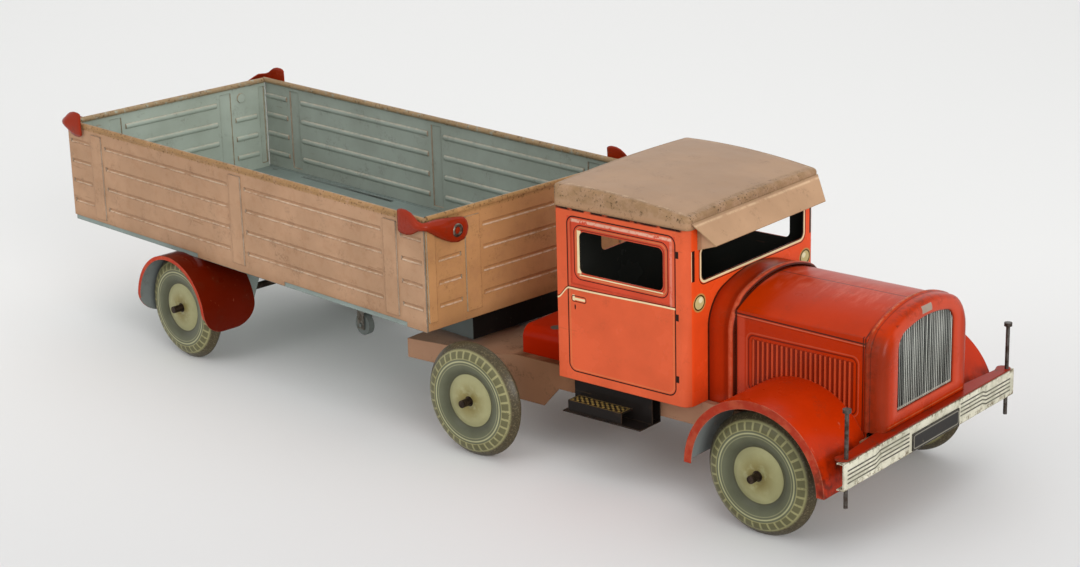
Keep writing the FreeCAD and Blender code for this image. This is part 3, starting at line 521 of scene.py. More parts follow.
def roof_print(spot, paint):
    x, y, z = axes_of(spot)
    side = sum_of("ABSOLUTE", y)
    shoulder = either(between(side, 42.0, 45.0, 0.7), between(x, 33.2, 36.0, 0.7),
                      between(x, 96.6, 101.6, 0.9))
    high = both(shoulder, faded(z, 112.0, 113.5))
    broken = mottled(spot, 0.34, 0.6, 5, 5, 0.7)
    base = painted(paint, worn_brown, high, broken, 0.55)
    # Painted shade on the turned-down rim, below the shoulder.
    shaded_rim = both(faded(z, 113.6, 110.6), faded(x, 101, 100.5))
    base = painted(base, (168, 126, 88), shaded_rim, 0.4)
    stain = mottled(spot, 0.52, 0.72, 26, 3, 0.5)
    base = painted(base, (158, 128, 98), stain, 0.3)
    specks = both(either(high, both(faded(side, 40, 43), 0.5)),
                  mottled(spot, 0.575, 0.62, 1.3, 4, 0.75), mottled(spot, 0.38, 0.56, 12, 2, 0.5))
    # Painted highlight: a broken light line along the crest of the shoulder.
    crest_highlight = both(between(side, 41.4, 42.4, 0.5), faded(x, 99, 98),
                 mottled(spot, 0.44, 0.6, 3, 4, 0.7))
    base = painted(base, (206, 178, 146), crest_highlight, 0.5)
    base = painted(base, (56, 44, 26), specks, 0.85)
    # Painted light: the visor lighter than the roof, and a painted highlight on its crease.
    visor = faded(x, 100.8, 101.2)
    base = painted(base, (186, 149, 116), visor, 0.8)
    base = painted(base, (216, 186, 152), visor, between(z, 111.3, 111.9, 0.3), broken, 0.7)
    base = painted(base, (136, 106, 72), visor, between(z, 112.2, 112.7, 0.3), broken, 0.7)
    chips = both(visor, mottled(spot, 0.68, 0.72, 1.5, 4, 0.75))
    return painted(base, (70, 52, 32), chips, 0.8)


# The yellowish tan of its worn edges is partly wear, partly a painted highlight on the shoulder.
roof_finish = tin("roof_tin", tractor_place, tan, (168, 140, 96), gloss=0.42, wear=0.8,
                  scratches=0.3, dirt=0.25, dents=0.9, printed=roof_print)
roof_piece = laid_out("roof_pressing", roof, tractor_place, roof_finish, "tractor")
thickened(roof_piece)
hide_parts("roof")
dress(["sun_visor"], roof_finish)


# Bonnet: bent red tin, with the hinge lines and a framed panel of air slots printed and pressed
# on both sides. Its ribs carry painted highlights and its slots painted shade, a painted glint
# runs round the panel, and the top carries a painted sheen among its scuffs.
louvre_x, louvre_z, louvre_pitch = (119.0, 164.4), (47.8, 66.9), 2.162
hinge_slope = 0.019


def louvre_bands(x, z):
    """Two bands that cross on the panel of air slots."""
    return between(x, *louvre_x, 0.2), between(z, *louvre_z, 0.4)


def ribs_at(x, z):
    """One on each pressed rib of the panel."""
    wave = sum_of("SINE", both(sum_of("SUBTRACT", x, louvre_x[0]), 2 * math.pi / louvre_pitch))
    return both(faded(wave, -0.7, 0.5), *louvre_bands(x, z))


def bonnet_print(spot, paint):
    x, y, z = axes_of(spot)
    on_side = faded(sum_of("ABSOLUTE", y), 29.0, 29.4)
    hinge = sum_of("MULTIPLY_ADD", x, hinge_slope, z)
    around = frame_line(x, z, (117.4, 165.8), (46.3, 68.4), 2.4, 0.6)
    glint = frame_line(x, z, (116.5, 166.7), (45.4, 69.3), 2.8, 0.5)
    lines = either(both(on_side, between(x, 168.3, 168.75)), between(hinge, 77.9, 78.5, 0.15),
                   between(y, -0.25, 0.25, 0.12), between(x, 111.2, 112.1, 0.2),
                   both(between(x, 169.2, 169.8, 0.2), 0.9))
    light = either(between(hinge, 77.2, 77.6, 0.12), both(on_side, glint, 0.4))
    strip = both(on_side, faded(hinge, 77.4, 77.0), between(x, 112.4, 115.6, 0.6))
    panel = both(on_side, *louvre_bands(x, z))
    gaps = both(panel, inverse(ribs_at(x, z)))
    ribs = both(panel, ribs_at(x, z))
    base = painted(paint, (170, 42, 0), on_side, 0.6)
    # Ribs lighter, gaps darker: the print, with painted highlight and painted shade added.
    base = painted(base, (196, 84, 50), ribs, 0.6)
    base = painted(base, (108, 24, 8), gaps, 0.85)
    base = painted(base, (200, 84, 60), strip, 0.45)
    base = painted(base, (76, 18, 8), on_side, around, 0.75)
    # Pale streaks on the top: partly scuffs, partly a painted sheen of reflected light.
    scuffs_and_sheen = both(faded(z, 82.6, 85.0), mottled(vector_sum("MULTIPLY", spot, (0.5, 0.12, 0.3)),
                                                 0.42, 0.7, 1.5, 5, 0.7))
    base = painted(base, (208, 112, 92), scuffs_and_sheen, 0.35)
    base = painted(base, (214, 130, 100), light, 0.5)
    return painted(base, ink, lines, 0.9)


def bonnet_height(spot):
    x, y, z = axes_of(spot)
    on_side = faded(sum_of("ABSOLUTE", y), 29.0, 29.4)
    hinge = sum_of("MULTIPLY_ADD", x, hinge_slope, z)
    bead = both(between(hinge, 77.0, 78.0, 0.4), 0.3)
    return sum_of("ADD", bead, both(on_side, ribs_at(x, z), 1.4))


bonnet_red = (176, 46, 0)
bonnet_finish = tin("bonnet_tin", tractor_place, bonnet_red, (104, 60, 40), gloss=0.3, wear=0.5,
                    scratches=0.3, dirt=0.2, dents=0.4, printed=bonnet_print, relief=bonnet_height)
dress(["bonnet"], bonnet_finish)


# Cowl: a wider arch between the cab and the bonnet, with a rolled bead along its front edge
# that is worn to a lighter red over a painted highlight, and painted shade beside it and towards
# the cab.
def arch_line(half, low, high, corner):
    """Corners of an arch seen from the front: a straight foot, a low crown, round shoulders."""
    crown_radius = 60

    def fall(y):
        return crown_radius - math.sqrt(crown_radius ** 2 - y * y)
    flat = half - corner
    line = [(half * step / 6, low) for step in range(6)]
    bend = high - fall(half) - corner
    line += [(half, low + (bend - low) * step / 8) for step in range(8)]
    for angle in quarter_turn(6):
        y = flat + corner * math.cos(angle)
        line.append((y, high - fall(y) - corner + corner * math.sin(angle)))
    line += [(flat * step / 8, high - fall(flat * step / 8)) for step in range(7, -1, -1)]
    return line + [(-y, z) for y, z in reversed(line[1:-1])]


def arched(steps):
    """Arches that follow one another: a place, half width, foot, height and corner for each."""
    return skinned([[(x, y, z) for y, z in arch_line(half, low, high, corner)]
                    for x, half, low, high, corner in steps])


def pressed(name, build, finish, node_name):
    """A sheet metal piece of the tractor with its thickness, in place of a plain solid."""
    piece = laid_out(name, build, tractor_place, finish, "tractor")
    thickened(piece)
    creases = piece.modifiers.new("creases", "EDGE_SPLIT")
    creases.split_angle = math.radians(50)
    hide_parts(node_name)


def cowl_print(spot, paint):
    x, _, _ = axes_of(spot)
    rubbed = mottled(spot, 0.36, 0.6, 2.2, 5, 0.7)
    # The bead: an even painted highlight, with patchy wear over it.
    bead = both(between(x, 109.0, 110.9, 0.5), sum_of("MULTIPLY_ADD", rubbed, 0.35, 0.3))
    # Painted shade in the hollow behind the bead and in the corner by the cab.
    shade = either(faded(x, 103.5, 99.5), between(x, 106.6, 108.7, 0.8))
    dark = either(between(x, 98.9, 99.9, 0.2), faded(x, 110.9, 111.2))
    base = painted(paint, (112, 26, 6), shade, 0.5)
    base = blended(bead, base, (206, 104, 72))
    return painted(base, ink, dark, 0.85)


cowl_line = [(99.1, 31.2, 86.4), (103.6, 31.2, 86.4), (108.2, 31.2, 86.4), (108.8, 31.5, 86.6),
             (109.4, 31.8, 86.9), (110.2, 31.9, 87.0), (110.9, 31.7, 86.8), (111.3, 31.1, 86.3),
             (111.3, 30.4, 85.8)]
cowl = arched([(x, half, 38.0, high, 9.0) for x, half, high in cowl_line])
foot = [face for face in cowl.faces if face.calc_center_median().z < 38.1]
bmesh.ops.delete(cowl, geom=foot, context="FACES")
cowl_finish = tin("cowl_tin", tractor_place, (168, 46, 10), (104, 60, 40), gloss=0.3, wear=0.5,
                  scratches=0.25, dirt=0.2, dents=0.3, printed=cowl_print)
pressed("cowl_pressing", cowl, cowl_finish, "cowl")


# Radiator shell: a red pressing with a soft front edge round the grille, a bead worn to tan at
# its back, and a small blank badge over the grille. Its sides are painted darker, a painted
# shade, and a painted highlight lies on its front face beside the grille.
def shell_print(spot, paint):
    x, y, z = axes_of(spot)
    side = sum_of("ABSOLUTE", y)
    rubbed = mottled(spot, 0.36, 0.6, 2.4, 5, 0.7)
    light = either(both(between(x, 170.6, 171.3, 0.25), rubbed),
                   both(faded(x, 177.9, 178.2), between(z, 42.9, 43.2, 0.15)))
    dark = either(between(x, 171.9, 172.3, 0.2), both(
        faded(x, 177.7, 177.2), faded(side, 21.5, 21.0), faded(z, 45, 46.5), faded(z, 81.5, 80.9)))
    badge = both(between(y, -4.6, 2.4), between(z, 81.4, 84.2), faded(x, 176.2, 176.4))
    base = painted(paint, (196, 128, 84), light, 0.55)
    # Painted shade: the sides of the shell painted darker.
    flank = both(faded(side, 25.0, 29.6), 0.85)
    base = blended(flank, base, (128, 42, 20))
    # Painted highlight on the front face beside the grille.
    cheek_highlight = both(faded(x, 176.8, 178.0), faded(side, 25.5, 22.5), faded(z, 44.5, 47.0), 0.4)
    base = blended(cheek_highlight, base, (208, 92, 70))
    soot = both(mottled(spot, 0.46, 0.62, 4, 5, 0.7),
                either(faded(x, 176.5, 171.5), faded(z, 80.5, 84.5), both(faded(z, 46, 42), 0.7)))
    base = painted(base, (96, 36, 16), soot, 0.5)
    base = painted(base, ink, dark, 0.5)
    return painted(base, (152, 150, 136), badge, 0.85)


back = [(169.9, 30.9, 41.0, 86.1, 5.0), (170.4, 31.1, 40.8, 86.4, 5.4),
        (171.2, 31.1, 40.8, 86.4, 5.6), (171.8, 30.7, 41.0, 85.9, 6.0),
        (172.8, 30.6, 41.0, 85.8, 7.0)]
rounding = []
for angle in quarter_turn(6):
    drop = 1 - math.cos(angle)
    rounding.append((174.6 + 3.6 * math.sin(angle), 30.6 - 3.6 * drop, 41.0 + 1.2 * drop,
                     85.8 - 3.6 * drop, 8.0 + drop))
mouth = [(178.2, 24.4, 44.4, 81.6, 6.6), (178.2, 21.8, 46.0, 80.8, 5.2),
         (178.0, 20.9, 46.7, 80.2, 4.7), (177.5, 20.3, 47.1, 79.8, 4.4),
         (176.9, 20.0, 47.3, 79.6, 4.2)]
shell = arched(back + rounding + mouth)
foot = [face for face in shell.faces
        if all(vertex.co.z < 42.0 and vertex.co.x < 176.9 for vertex in face.verts)]
bmesh.ops.delete(shell, geom=foot, context="FACES")
shell_finish = tin("shell_tin", tractor_place, bonnet_red, (110, 64, 44), gloss=0.28, wear=0.6,
                   scratches=0.3, dirt=0.25, dents=0.3, printed=shell_print)
pressed("radiator_pressing", shell, shell_finish, "radiator")


# Grille: a ribbed plate printed with dark and silvery upright bars of uneven strength, and
# with a pale line along its right edge and its foot.
bar_pitch = 1.3
grille_wide, grille_high, grille_middle = 42, 34, 63.6


def grille_print(spot, paint):
    _, y, z = axes_of(spot)
    stripe = sum_of("SINE", both(y, 2 * math.pi / bar_pitch))
    along = vector_sum("MULTIPLY", spot, (1, 1, 0.012))
    uneven = both(sum_of("SUBTRACT", grain(along, 0.7, 4), 0.5), 2.4)
    shade = sum_of("ADD", stripe, uneven)
    base = blended(faded(shade, 0.3, 1.1), (46, 48, 46), paint)
    frame = either(faded(y, -18.7, -19.1), faded(z, 48.2, 47.9))
    return blended(frame, base, (200, 196, 182))


plate = bmesh.new()
bmesh.ops.create_grid(plate, x_segments=256, y_segments=1, size=0.5)
for vertex in plate.verts:
    across, along = vertex.co.x * grille_wide, vertex.co.y * grille_high
    ridge = 0.35 * math.sin(2 * math.pi * across / bar_pitch)
    vertex.co = (176.5 + ridge, across, grille_middle + along)
grille_finish = tin("grille_tin", tractor_place, (190, 192, 184), (96, 90, 80), gloss=0.35,
                    wear=0.2, dents=0.1, printed=grille_print)
plate_piece = laid_out("grille_plate", plate, tractor_place, grille_finish, "tractor")
thickened(plate_piece)
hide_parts("grille")


# Wings: red arches with a narrow lip, worn to a duller pink along the lip and blue-grey beneath.
# The rear pair is painted far darker, a painted shadow of the trailer bed, all but its lip, which
# keeps a brighter red; the front pair is sooty at its lower front ends.
def wing_print(place, middle, lip_paint, smudge):
    def printed(spot, paint):
        outward, (_, across, _) = outlook(place, spot, (middle, 0, 24.5), (1, 0, 1))
        rubbed = mottled(spot, 0.4, 0.66, 4, 4, 0.6)
        lip = faded(sum_of("ABSOLUTE", across), 0.6, 0.8)
        base = painted(paint, lip_paint, lip, 0.75)
        base = painted(base, (186, 96, 66), rubbed, lip, 0.4)
        ahead_of, _, height = axes_of(spot)
        soot = both(faded(ahead_of, middle + 22, middle + 30), faded(height, 46, 34),
                    mottled(spot, 0.4, 0.6, 7, 4, 0.6), smudge)
        base = blended(soot, base, (70, 26, 14))
        inside = both(faded(outward, -2, -6), inverse(lip))
        return blended(inside, base, (124, 130, 128))
    return printed


front_wing_print = wing_print(tractor_place, 141.5, (148, 50, 34), 0.75)
dress(["front_wing_right", "front_wing_left"],
      tin("front_wing_tin", tractor_place, (182, 44, 2), (186, 122, 96), gloss=0.3, wear=0.6,
          scratches=0.3, dirt=0.25, dents=0.4, printed=front_wing_print))
# Painted shadow: the rear wings painted far darker than the front ones.
rear_wing_print = wing_print(trailer_place, -148, (196, 60, 34), 0.0)
dress(["rear_wing_right", "rear_wing_left"],
      tin("rear_wing_shaded_tin", trailer_place, (92, 17, 0), (170, 100, 78), gloss=0.3, wear=0.5,
          scratches=0.3, dirt=0.3, dents=0.4, printed=rear_wing_print))


# Valance: a narrow red strip of tin that closes the gap behind the bumper's top edge, with a
# round ear about each width rod.
valance = bmesh.new()
outline = [(174.6, -30.0), (176.8, -54.5)]
ear = [math.pi + math.pi * step / 8 for step in range(9)]
outline += [(178.4 + 2.9 * math.cos(angle), -58.6 + 2.9 * math.sin(angle)) for angle in ear]
outline += [(x, -y) for x, y in reversed(outline)]
corners = [valance.verts.new((x, y, 41.1)) for x, y in outline]
flat = valance.faces.new(corners)
grown = bmesh.ops.extrude_face_region(valance, geom=[flat])
raised = [part for part in grown["geom"] if isinstance(part, bmesh.types.BMVert)]
bmesh.ops.translate(valance, vec=(0, 0, 0.5), verts=raised)
valance_tin = tin("valance_tin", tractor_place, (146, 34, 8), (96, 64, 46), wear=0.9, dirt=0.8)
laid_out("front_valance", valance, tractor_place, valance_tin, "tractor",
         smooth=False)


# Bumper: a cream strip with four dark lines printed each side of a bare number plate, and
# two steel width rods through it.
def bumper_print(spot, paint):
    x, y, z = axes_of(spot)
    on_face = faded(x, 181.05, 181.15)
    beside = faded(sum_of("ABSOLUTE", sum_of("SUBTRACT", y, 1.9)), 18.6, 19.0)
    step = sum_of("MULTIPLY_ADD", faded(sum_of("ABSOLUTE", y), 37, 41), 1.0, z)
    lines = either(*[between(step, height - 0.32, height + 0.32, 0.14)
                     for height in (33.6, 35.2, 36.8, 38.4)])
    inner = between(sum_of("ABSOLUTE", y), 0, 59.6, 0.3)
    base = painted(paint, (66, 62, 58), on_face, beside, lines, inner)
    dull = mottled(spot, 0.42, 0.62, 7, 5, 0.65)
    base = painted(base, (150, 150, 128), dull, 0.4)
    rust = both(mottled(spot, 0.5, 0.58, 2.6, 6, 0.75),
                either(faded(z, 38.6, 40.8), faded(z, 33.0, 30.8), 0.2))
    return painted(base, (92, 72, 40), rust, 0.85)


dress(["bumper"], tin("bumper_tin", tractor_place, (214, 210, 190), (104, 82, 54), gloss=0.36,
                      wear=0.9, scratches=0.6, dirt=0.55, dents=0.9, printed=bumper_print))


def plate_print(spot, paint):
    _, y, z = axes_of(spot)
    border = frame_line(y, z, (-14.4, 18.2), (31.5, 36.8), 0.9, 0.5)
    return blended(border, paint, (128, 124, 112))


dress(["number_plate"], tin("plate_tin", tractor_place, (44, 42, 40), (150, 140, 120), gloss=0.35,
                            wear=0.4, dents=0.1, printed=plate_print))


def bare_metal(name, place, shine, gloss, rust):
    """Dull steel with brown tarnish."""
    finish, tree, shader = blank_finish(name)
    spot = spot_on(tree, place)
    cloud = grain(spot, 2.6, 5, 0.65)
    base = blended(faded(cloud, 0.35, 0.65), shine, rust)
    fill(shader, {"Base Color": base, "Metallic": 0.85,
                  "Roughness": sum_of("MULTIPLY_ADD", cloud, 0.35, gloss - 0.1)})
    bumped(shader, grain(spot, 0.7, 4, 0.7), 0.5, 0.0002)
    return finish


rod_finish = bare_metal("rod_steel", tractor_place, (92, 88, 84), 0.4, (58, 46, 38))
dress(["width_rod_right", "width_rod_left"], rod_finish)


# Steps: black tin boxes below the doors, their treads printed with rows of golden dashes, each
# row set off by half a pitch, inside a thin golden frame.
row_pitch, dash_pitch = 1.3, 2.6


def step_print(spot, paint):
    x, y, z = axes_of(spot)
    side = sum_of("ABSOLUTE", y)
    row = sum_of("FLOOR", sum_of("DIVIDE", side, row_pitch))
    along = sum_of("MULTIPLY_ADD", x, 2 * math.pi / dash_pitch, both(row, math.pi))
    dash = faded(sum_of("SINE", along), 0.0, 0.5)
    gap = faded(sum_of("FRACT", sum_of("DIVIDE", side, row_pitch)), 0.12, 0.26)
    on_tread = both(faded(z, 29.8, 29.95), between(x, 42.2, 66.8), between(side, 40.3, 45.6))
    frame = both(faded(z, 29.8, 29.95), frame_line(x, side, (41.7, 67.3), (39.9, 46.1), 0.4, 0.3))
    gold = either(both(on_tread, dash, gap), both(frame, 0.7))
    return painted(paint, (170, 142, 78), gold, 0.85)


step_finish = tin("step_tin", tractor_place, (28, 24, 22), (84, 66, 50), gloss=0.34, wear=0.5,
                  dirt=0.3, dents=0.2, printed=step_print)
dress(["step_right", "step_left"], step_finish)


# Deck cover: a low red box on the deck behind the cab, with a grey round blank printed on its
# top.
def cover_print(spot, paint):
    x, y, z = axes_of(spot)
    disc = oval(x, y, (17.0, -23.5), (2.6, 2.6))
    return painted(paint, (84, 80, 74), disc, faded(z, 48.8, 49.2))


dress(["deck_cover"], tin("cover_tin", tractor_place, (164, 30, 0), (120, 70, 56), gloss=0.32,
                          wear=0.5, printed=cover_print))


# Wheels: two tin pressings crimped together at the rim, with a grey-green printed tyre, cream
# rings and a domed cream hub. Each pair turns with its wire axle.
wheel_radius, wheel_width = 24.5, 8.0
round_scale, tread_blocks = 25.0, 34.0
wheel_face = [(0.4, 1.62), (0.05, 2.6), (-0.05, 4.6), (0.0, 6.6), (0.15, 8.4), (0.5, 9.9),
              (0.95, 10.8), (1.15, 11.2), (0.9, 11.7), (0.3, 12.4), (-0.2, 13.3), (-0.55, 14.5),
              (-0.75, 15.8), (-0.8, 17.2), (-0.7, 18.5), (-0.3, 19.9), (0.3, 21.1), (1.1, 22.2),
              (2.0, 23.1), (2.9, 23.85), (3.5, 24.3), (3.9, 24.5)]


def wheel_finish():
    """The print of a wheel, drawn by its radius and its angle from the map called round."""
    finish, tree, shader = blank_finish("wheel_tin")
    layout = tree.nodes.new("ShaderNodeUVMap")
    layout.uv_map = "round"
    round_it, out_it, _ = axes_of(layout.outputs[0])
    radius = both(out_it, round_scale)
    spot = spot_on(tree, Matrix())
    blocks = both(round_it, tread_blocks)
    off_block = sum_of("ABSOLUTE", sum_of("SUBTRACT", sum_of("FRACT", blocks), 0.5))
    wall_grey, olive = (96, 98, 79), (148, 144, 104)
    base = blended(faded(radius, 11.4, 11.1), wall_grey, (156, 153, 114))
    shaded = both(faded(radius, 11.1, 11.5), faded(radius, 15.5, 12.0))
    base = painted(base, (52, 52, 40), shaded, 0.5)
    rust = both(faded(radius, 10.0, 2.4), mottled(spot, 0.3, 0.55, 4, 3))
    base = painted(base, (122, 106, 50), rust, 0.75)
    dish = between(radius, 11.2, 11.8, 0.2)
    base = painted(base, (70, 68, 50), dish, 0.6)
    rings = either(both(between(radius, 15.7, 16.0, 0.25), 0.5), between(radius, 16.8, 17.3, 0.25))
    base = painted(base, (184, 182, 142), rings, 0.85)
    tread = faded(radius, 17.9, 18.2)
    base = blended(tread, base, olive)
    squares = both(between(radius, 18.4, 21.2, 0.25), faded(off_block, 0.42, 0.34))
    base = painted(base, (74, 72, 50), squares, 0.75)
    # Painted shade: the front wheels darker, against the front lamp's stronger light.
    ahead_of, _, _ = axes_of(spot)
    base = blended(both(faded(ahead_of, 110, 130), 0.35), base, (0.66, 0.67, 0.58, 1), "MULTIPLY")
    crown = faded(radius, 21.3, 22.4)
    base = painted(base, (52, 41, 31), crown, 0.9)
    crumbs = both(crown, mottled(spot, 0.5, 0.66, 0.8, 4, 0.8))
    base = painted(base, (146, 134, 104), crumbs, 0.4)
    cloud = grain(spot, 12, 4)
    shade = blended(faded(cloud, 0.3, 0.7), (0.86, 0.85, 0.8, 1), (1.05, 1.05, 1.04, 1))
    base = blended(1.0, base, shade, "MULTIPLY")
    marks = both(mottled(spot, 0.56, 0.68, 1.2, 5, 0.75), mottled(spot, 0.38, 0.56, 8, 3),
                 faded(radius, 16, 20.5))
    base = painted(base, (80, 60, 34), marks, 0.8)
    fill(shader, {"Base Color": base, "Roughness": sum_of("MULTIPLY_ADD", cloud, 0.25, 0.25),
                  "Specular IOR Level": 0.15, "Coat Weight": 0.12, "Coat Roughness": 0.2})
    blocks_up = both(between(radius, 18.5, 22.6, 0.3), faded(off_block, 0.4, 0.3))
    height = sum_of("MULTIPLY_ADD", grain(spot, 0.9, 3), 0.03, both(blocks_up, 0.12))
    bumped(shader, height, 0.8, 0.0008)
    return finish


def spun(build, line, axis, steps):
    """A skin of revolution, from a line turned about an axis through the origin."""
    verts = [build.verts.new(place) for place in line]
    rims = [build.edges.new(pair) for pair in zip(verts, verts[1:])]
    bmesh.ops.spin(build, geom=verts + rims, cent=(0, 0, 0), axis=axis, dvec=(0, 0, 0),
                   angle=2 * math.pi, steps=steps, use_merge=True)
    bmesh.ops.remove_doubles(build, verts=build.verts, dist=0.0005)


wheel_tin = wheel_finish()
axles = (("rear_axle", tractor_place, 0.0, 60.6, "rear_wheels"),
         ("front_axle", tractor_place, 140.0, 57.0, "front_wheels"),
         ("trailer_axle", trailer_place, -148.0, 63.2, "trailer_wheels"))
for axle, place, middle, face, body in axles:
    for hand, sign in (("right", -1), ("left", 1)):
        wheel = bmesh.new()
        outside = [(0, sign * (face - deep), out) for deep, out in wheel_face]
        rear = face - wheel_width
        inside = [(0, sign * (rear + deep), out) for deep, out in reversed(wheel_face)]
        spun(wheel, outside + inside, (0, 1, 0), 108)
        unwrap = wheel.loops.layers.uv.new("round")
        for tin_face in wheel.faces:
            turns = [math.atan2(loop.vert.co.z, loop.vert.co.x) / (2 * math.pi)
                     for loop in tin_face.loops]
            if max(turns) - min(turns) > 0.5:
                turns = [value + 1 if value < 0 else value for value in turns]
            for loop, value in zip(tin_face.loops, turns):
                out = math.hypot(loop.vert.co.x, loop.vert.co.z)
                loop[unwrap].uv = (value, out / round_scale)
        bmesh.ops.translate(wheel, vec=(middle, 0, wheel_radius), verts=wheel.verts)
        disc = laid_out(f"{axle}_wheel_{hand}", wheel, place, wheel_tin, body)
        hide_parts(f"{axle}_disc_{hand}")
wire_finish = bare_metal("axle_wire", Matrix(), (72, 58, 47), 0.42, (40, 30, 23))
dress(["rear_axle_rod", "front_axle_rod", "trailer_axle_rod", "king_pin"], wire_finish)


# Trailer bed: tin walls printed tan outside and blue-grey inside, their rolled top edges worn
# to a golden brown, on a blue-grey floor with four slots. The end walls take a warmer tan and a
# lighter grey as painted light, and the ribs carry a painted highlight on their upper faces.
bed_tan, bed_grey = (180, 143, 113), (152, 160, 151)
# Painted light: the end walls' tan warmed by the red cab, their grey lighter.
cab_lit_end_tan, lit_end_grey = (182, 136, 90), (170, 180, 168)


def wall_print(along, middle, out_paint, in_paint):
    """Tan facing out, grey facing into the bed, gold on the roll, painted highlights on ribs."""
    def printed(spot, paint):
        outward, (_, _, upward) = outlook(trailer_place, spot, middle, along)
        _, _, height = axes_of(spot)
        rubbed = mottled(spot, 0.46, 0.68, 6, 5, 0.7)
        outer = painted(out_paint, (160, 116, 84), rubbed, 0.3)
        low = both(faded(height, 56, 51), 0.3)
        outer = blended(low, outer, (130, 94, 66))
        chips = both(mottled(spot, 0.64, 0.68, 1.3, 4, 0.75), mottled(spot, 0.46, 0.6, 18, 2, 0.5))
        outer = painted(outer, (84, 56, 36), chips, 0.7)
        base = blended(faded(outward, 0.5, -0.5), outer, in_paint)
        # Painted highlight on the upward faces of the ribs, stronger outside.
        rib_top_highlight = both(faded(upward, 0.35, 0.7), faded(height, 95, 94),
                     mottled(spot, 0.3, 0.6, 3, 4, 0.7))
        lit = sum_of("MULTIPLY_ADD", faded(outward, -0.5, 0.5), 0.4, 0.35)
        base = painted(base, (224, 204, 180), rib_top_highlight, lit)
        worn = both(faded(height, 95.9, 96.9), mottled(spot, 0.28, 0.5, 3.4, 5, 0.7))
        base = painted(base, (158, 122, 78), worn, 0.8)
        specks = both(faded(height, 95.5, 96.5), mottled(spot, 0.56, 0.62, 1.2, 4, 0.7))
        return painted(base, (70, 48, 24), specks, 0.7)
    return printed


for label, walls, along, middle, out_paint, in_paint in (
        ("side", ["bed_side_right", "bed_side_left"], (0, 1, 0), (0, 0, 0), bed_tan, bed_grey),
        ("end", ["bed_end_front", "bed_end_rear"], (1, 0, 0), (-107, 0, 0), cab_lit_end_tan, lit_end_grey)):
    both_faces = wall_print(along, middle, out_paint, in_paint)
    dress(walls, tin(f"bed_{label}_tin", trailer_place, out_paint, (108, 72, 44), gloss=0.4,
                     wear=0.6, scratches=0.3, dirt=0.3, dents=0.6, printed=both_faces))
grey_values = {"gloss": 0.42, "wear": 0.5, "scratches": 0.6, "dirt": 0.2, "dents": 0.5}
dress(["bed_floor", "axle_carrier"], tin("bed_floor_tin", trailer_place, (138, 150, 145),
                                         (88, 84, 74), **grey_values))


# Coupling: a blue-grey folded bracket whose front, above the chassis, is painted near black, a
# painted shade for the dark under the bed. It has the same wear as the bed floor.
def coupling_print(spot, paint):
    _, (ahead_of, _, _) = outlook(trailer_place, spot, (0, 0, 0))
    # Painted shade on the faces that look forward.
    return blended(faded(ahead_of, 0.5, 0.7), paint, (22, 20, 19))


dress(["coupling_bracket"], tin("coupling_tin", trailer_place, (92, 98, 96), (70, 66, 58),
                                printed=coupling_print, **grey_values))


# Latches: red tin strips riveted to the end walls, pinched at the corner and spread out again
# on the side walls, each with a tubular steel rivet.
latch_red = tin("latch_tin", trailer_place, (146, 42, 16), (90, 50, 34), gloss=0.28, wear=0.9,
                scratches=0.5, dirt=0.8, dents=0.3, coat=0.14)
rivet_steel = bare_metal("rivet_steel", trailer_place, (120, 112, 100), 0.3, (54, 42, 32))
strip = [(-24.0, 91.0, 0.9, 0.1), (-23.3, 91.0, 3.0, 0.3), (-21.6, 91.0, 4.7, 0.5),
         (-18.6, 91.0, 5.4, 0.6), (-14.5, 91.7, 5.2, 1.1), (-10.5, 92.9, 4.5, 1.8),
         (-7.0, 94.1, 3.6, 2.1), (-4.0, 95.1, 2.6, 2.0), (-1.8, 95.7, 1.8, 1.6),
         (0.0, 95.9, 1.5, 1.3), (1.8, 96.1, 2.0, 1.4), (3.8, 96.3, 3.3, 1.4),
         (6.2, 96.4, 4.6, 1.1), (9.0, 96.4, 5.3, 0.8), (11.8, 96.4, 5.3, 0.6),
         (13.6, 96.4, 4.9, 0.4), (14.4, 96.4, 4.2, 0.1)]
bend, bed_half = 1.9, 61.0
rivet_across, rivet_height = 43.0, 91.0
rivet_line = ((0.3, 2.9), (1.3, 2.9), (1.75, 2.5), (1.8, 2.0), (1.55, 1.6), (0.9, 1.5), (0.8, 0.0))


def eased(value):
    """A number kept between 0 and 1."""
    return min(max(value, 0), 1)


for end, face, out in (("front", 21.2, 1), ("rear", -236.0, -1)):
    for hand, sign in (("right", -1), ("left", 1)):
        latch = bmesh.new()
        raised = 2.4 if end == "rear" else 1.5 if hand == "left" else 0
        rows = []
        for run, middle, half, swell in strip:
            rows.append([])
            lift = raised * eased((run + 14) / 10)
            for step in range(9):
                v = step / 4 - 1
                off = bend + swell * (1 - v * v) + 0.2
                angle = math.pi / 2 * eased((run + 1.5) / 3)
                x = face + out * (1.2 - bend + off * math.cos(angle) - max(run - 1.5, 0))
                y = sign * (bed_half - bend + off * math.sin(angle) + min(run + 1.5, 0))
                rows[-1].append(latch.verts.new((x, y, middle + lift + (half + lift / 4) * v)))
        ribs = [[latch.edges.new(pair) for pair in zip(row, row[1:])] for row in rows]
        for first, second in zip(ribs, ribs[1:]):
            bmesh.ops.bridge_loops(latch, edges=first + second)
        strap = laid_out(f"latch_strap_{end}_{hand}", latch, trailer_place, latch_red, "trailer")
        thickened(strap, 0)
        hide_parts(f"latch_{end}_{hand}")
        rivet = bmesh.new()
        line = [(face + out * (1.2 + high), 0, wide) for high, wide in rivet_line]
        spun(rivet, line, (1, 0, 0), 32)
        bmesh.ops.translate(rivet, vec=(0, sign * rivet_across, rivet_height), verts=rivet.verts)
        laid_out(f"latch_rivet_{end}_{hand}", rivet, trailer_place, rivet_steel, "trailer")


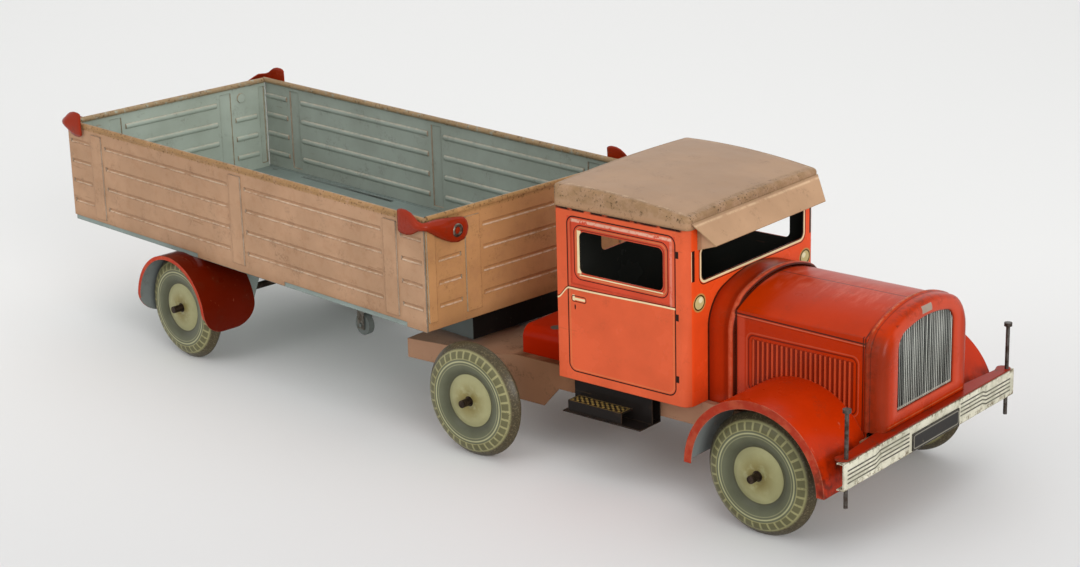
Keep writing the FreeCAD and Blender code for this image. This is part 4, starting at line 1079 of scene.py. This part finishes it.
# Parking wheel: a small roller of grey tin in a folded steel fork, under the front of the bed.
# Both are brown with dirt and tarnish.
fork_steel = bare_metal("fork_steel", trailer_place, (150, 146, 138), 0.4, (104, 92, 78))
dress(["parking_fork"], fork_steel)
dress(["parking_roller"], tin("roller_tin", trailer_place, (128, 134, 130), (88, 76, 62),
                              gloss=0.4, dirt=0.5))


# The sweep is a matt white floor that runs out past the picture on every side. It is darker
# towards the camera, where the lamps light it more.
floor_mesh = bmesh.new()
bmesh.ops.create_grid(floor_mesh, x_segments=1, y_segments=1, size=6)
sweep_mesh = bpy.data.meshes.new("sweep")
floor_mesh.to_mesh(sweep_mesh)
floor_mesh.free()
sweep = bpy.data.objects.new("sweep", sweep_mesh)
bpy.context.scene.collection.objects.link(sweep)
white, tree, shader = blank_finish("sweep_paper")
ahead_of, aside, _ = axes_of(spot_on(tree, Matrix()))
near = faded(sum_of("SUBTRACT", aside, ahead_of), 250, -500)
paper = blended(near, (0.87, 0.87, 0.86, 1), (0.7, 0.7, 0.7, 1))
fill(shader, {"Base Color": paper, "Roughness": 0.75, "Specular IOR Level": 0.2})
sweep_mesh.materials.append(white)

# The world is plain white to the camera and in reflections, and lights the toy a little less.
world = bpy.data.worlds.new("studio")
bpy.context.scene.world = world
world.use_nodes = True
tree = world.node_tree
tree.nodes.clear()
out = tree.nodes.new("ShaderNodeOutputWorld")
lights = []
for strength in (0.74, 1.0):
    light = tree.nodes.new("ShaderNodeBackground")
    fill(light, {"Color": (1, 1, 1, 1), "Strength": strength})
    lights.append(light.outputs[0])
path = tree.nodes.new("ShaderNodeLightPath")
rays = either(*[path.outputs[f"Is {kind} Ray"] for kind in ("Transmission", "Glossy", "Camera")])
sky = tree.nodes.new("ShaderNodeMixShader")
for socket, value in zip(sky.inputs, [rays] + lights):
    put(socket, value)
tree.links.new(sky.outputs[0], out.inputs[0])


def soft_lamp(name, where, aim, size, power, spread=180):
    """A soft box aimed at a point, its light kept within a cone of that many degrees."""
    lamp = bpy.data.lights.new(name, "AREA")
    lamp.shape = "SQUARE"
    lamp.size = size
    lamp.energy = power
    lamp.spread = math.radians(spread)
    box = bpy.data.objects.new(name, lamp)
    turned = (Vector(aim) - Vector(where)).to_track_quat("-Z", "Y").to_matrix()
    box.matrix_world = Matrix.Translation(where) @ turned.to_4x4()
    bpy.context.scene.collection.objects.link(box)


# Four soft boxes: above, at the front, at the right side and behind.
soft_lamp("top_box", (0.1, 0.1, 1.3), (0, 0, 0), 1.2, 2)
soft_lamp("front_box", (1.35, -0.75, 0.55), (0.05, 0, 0.07), 0.8, 1.7, spread=60)
soft_lamp("side_box", (-0.3, -1.4, 0.8), (0, 0, 0.05), 0.8, 3)
soft_lamp("back_box", (-1.2, 1.5, 1.3), (-0.9, 1.1, 0), 1.6, 4)
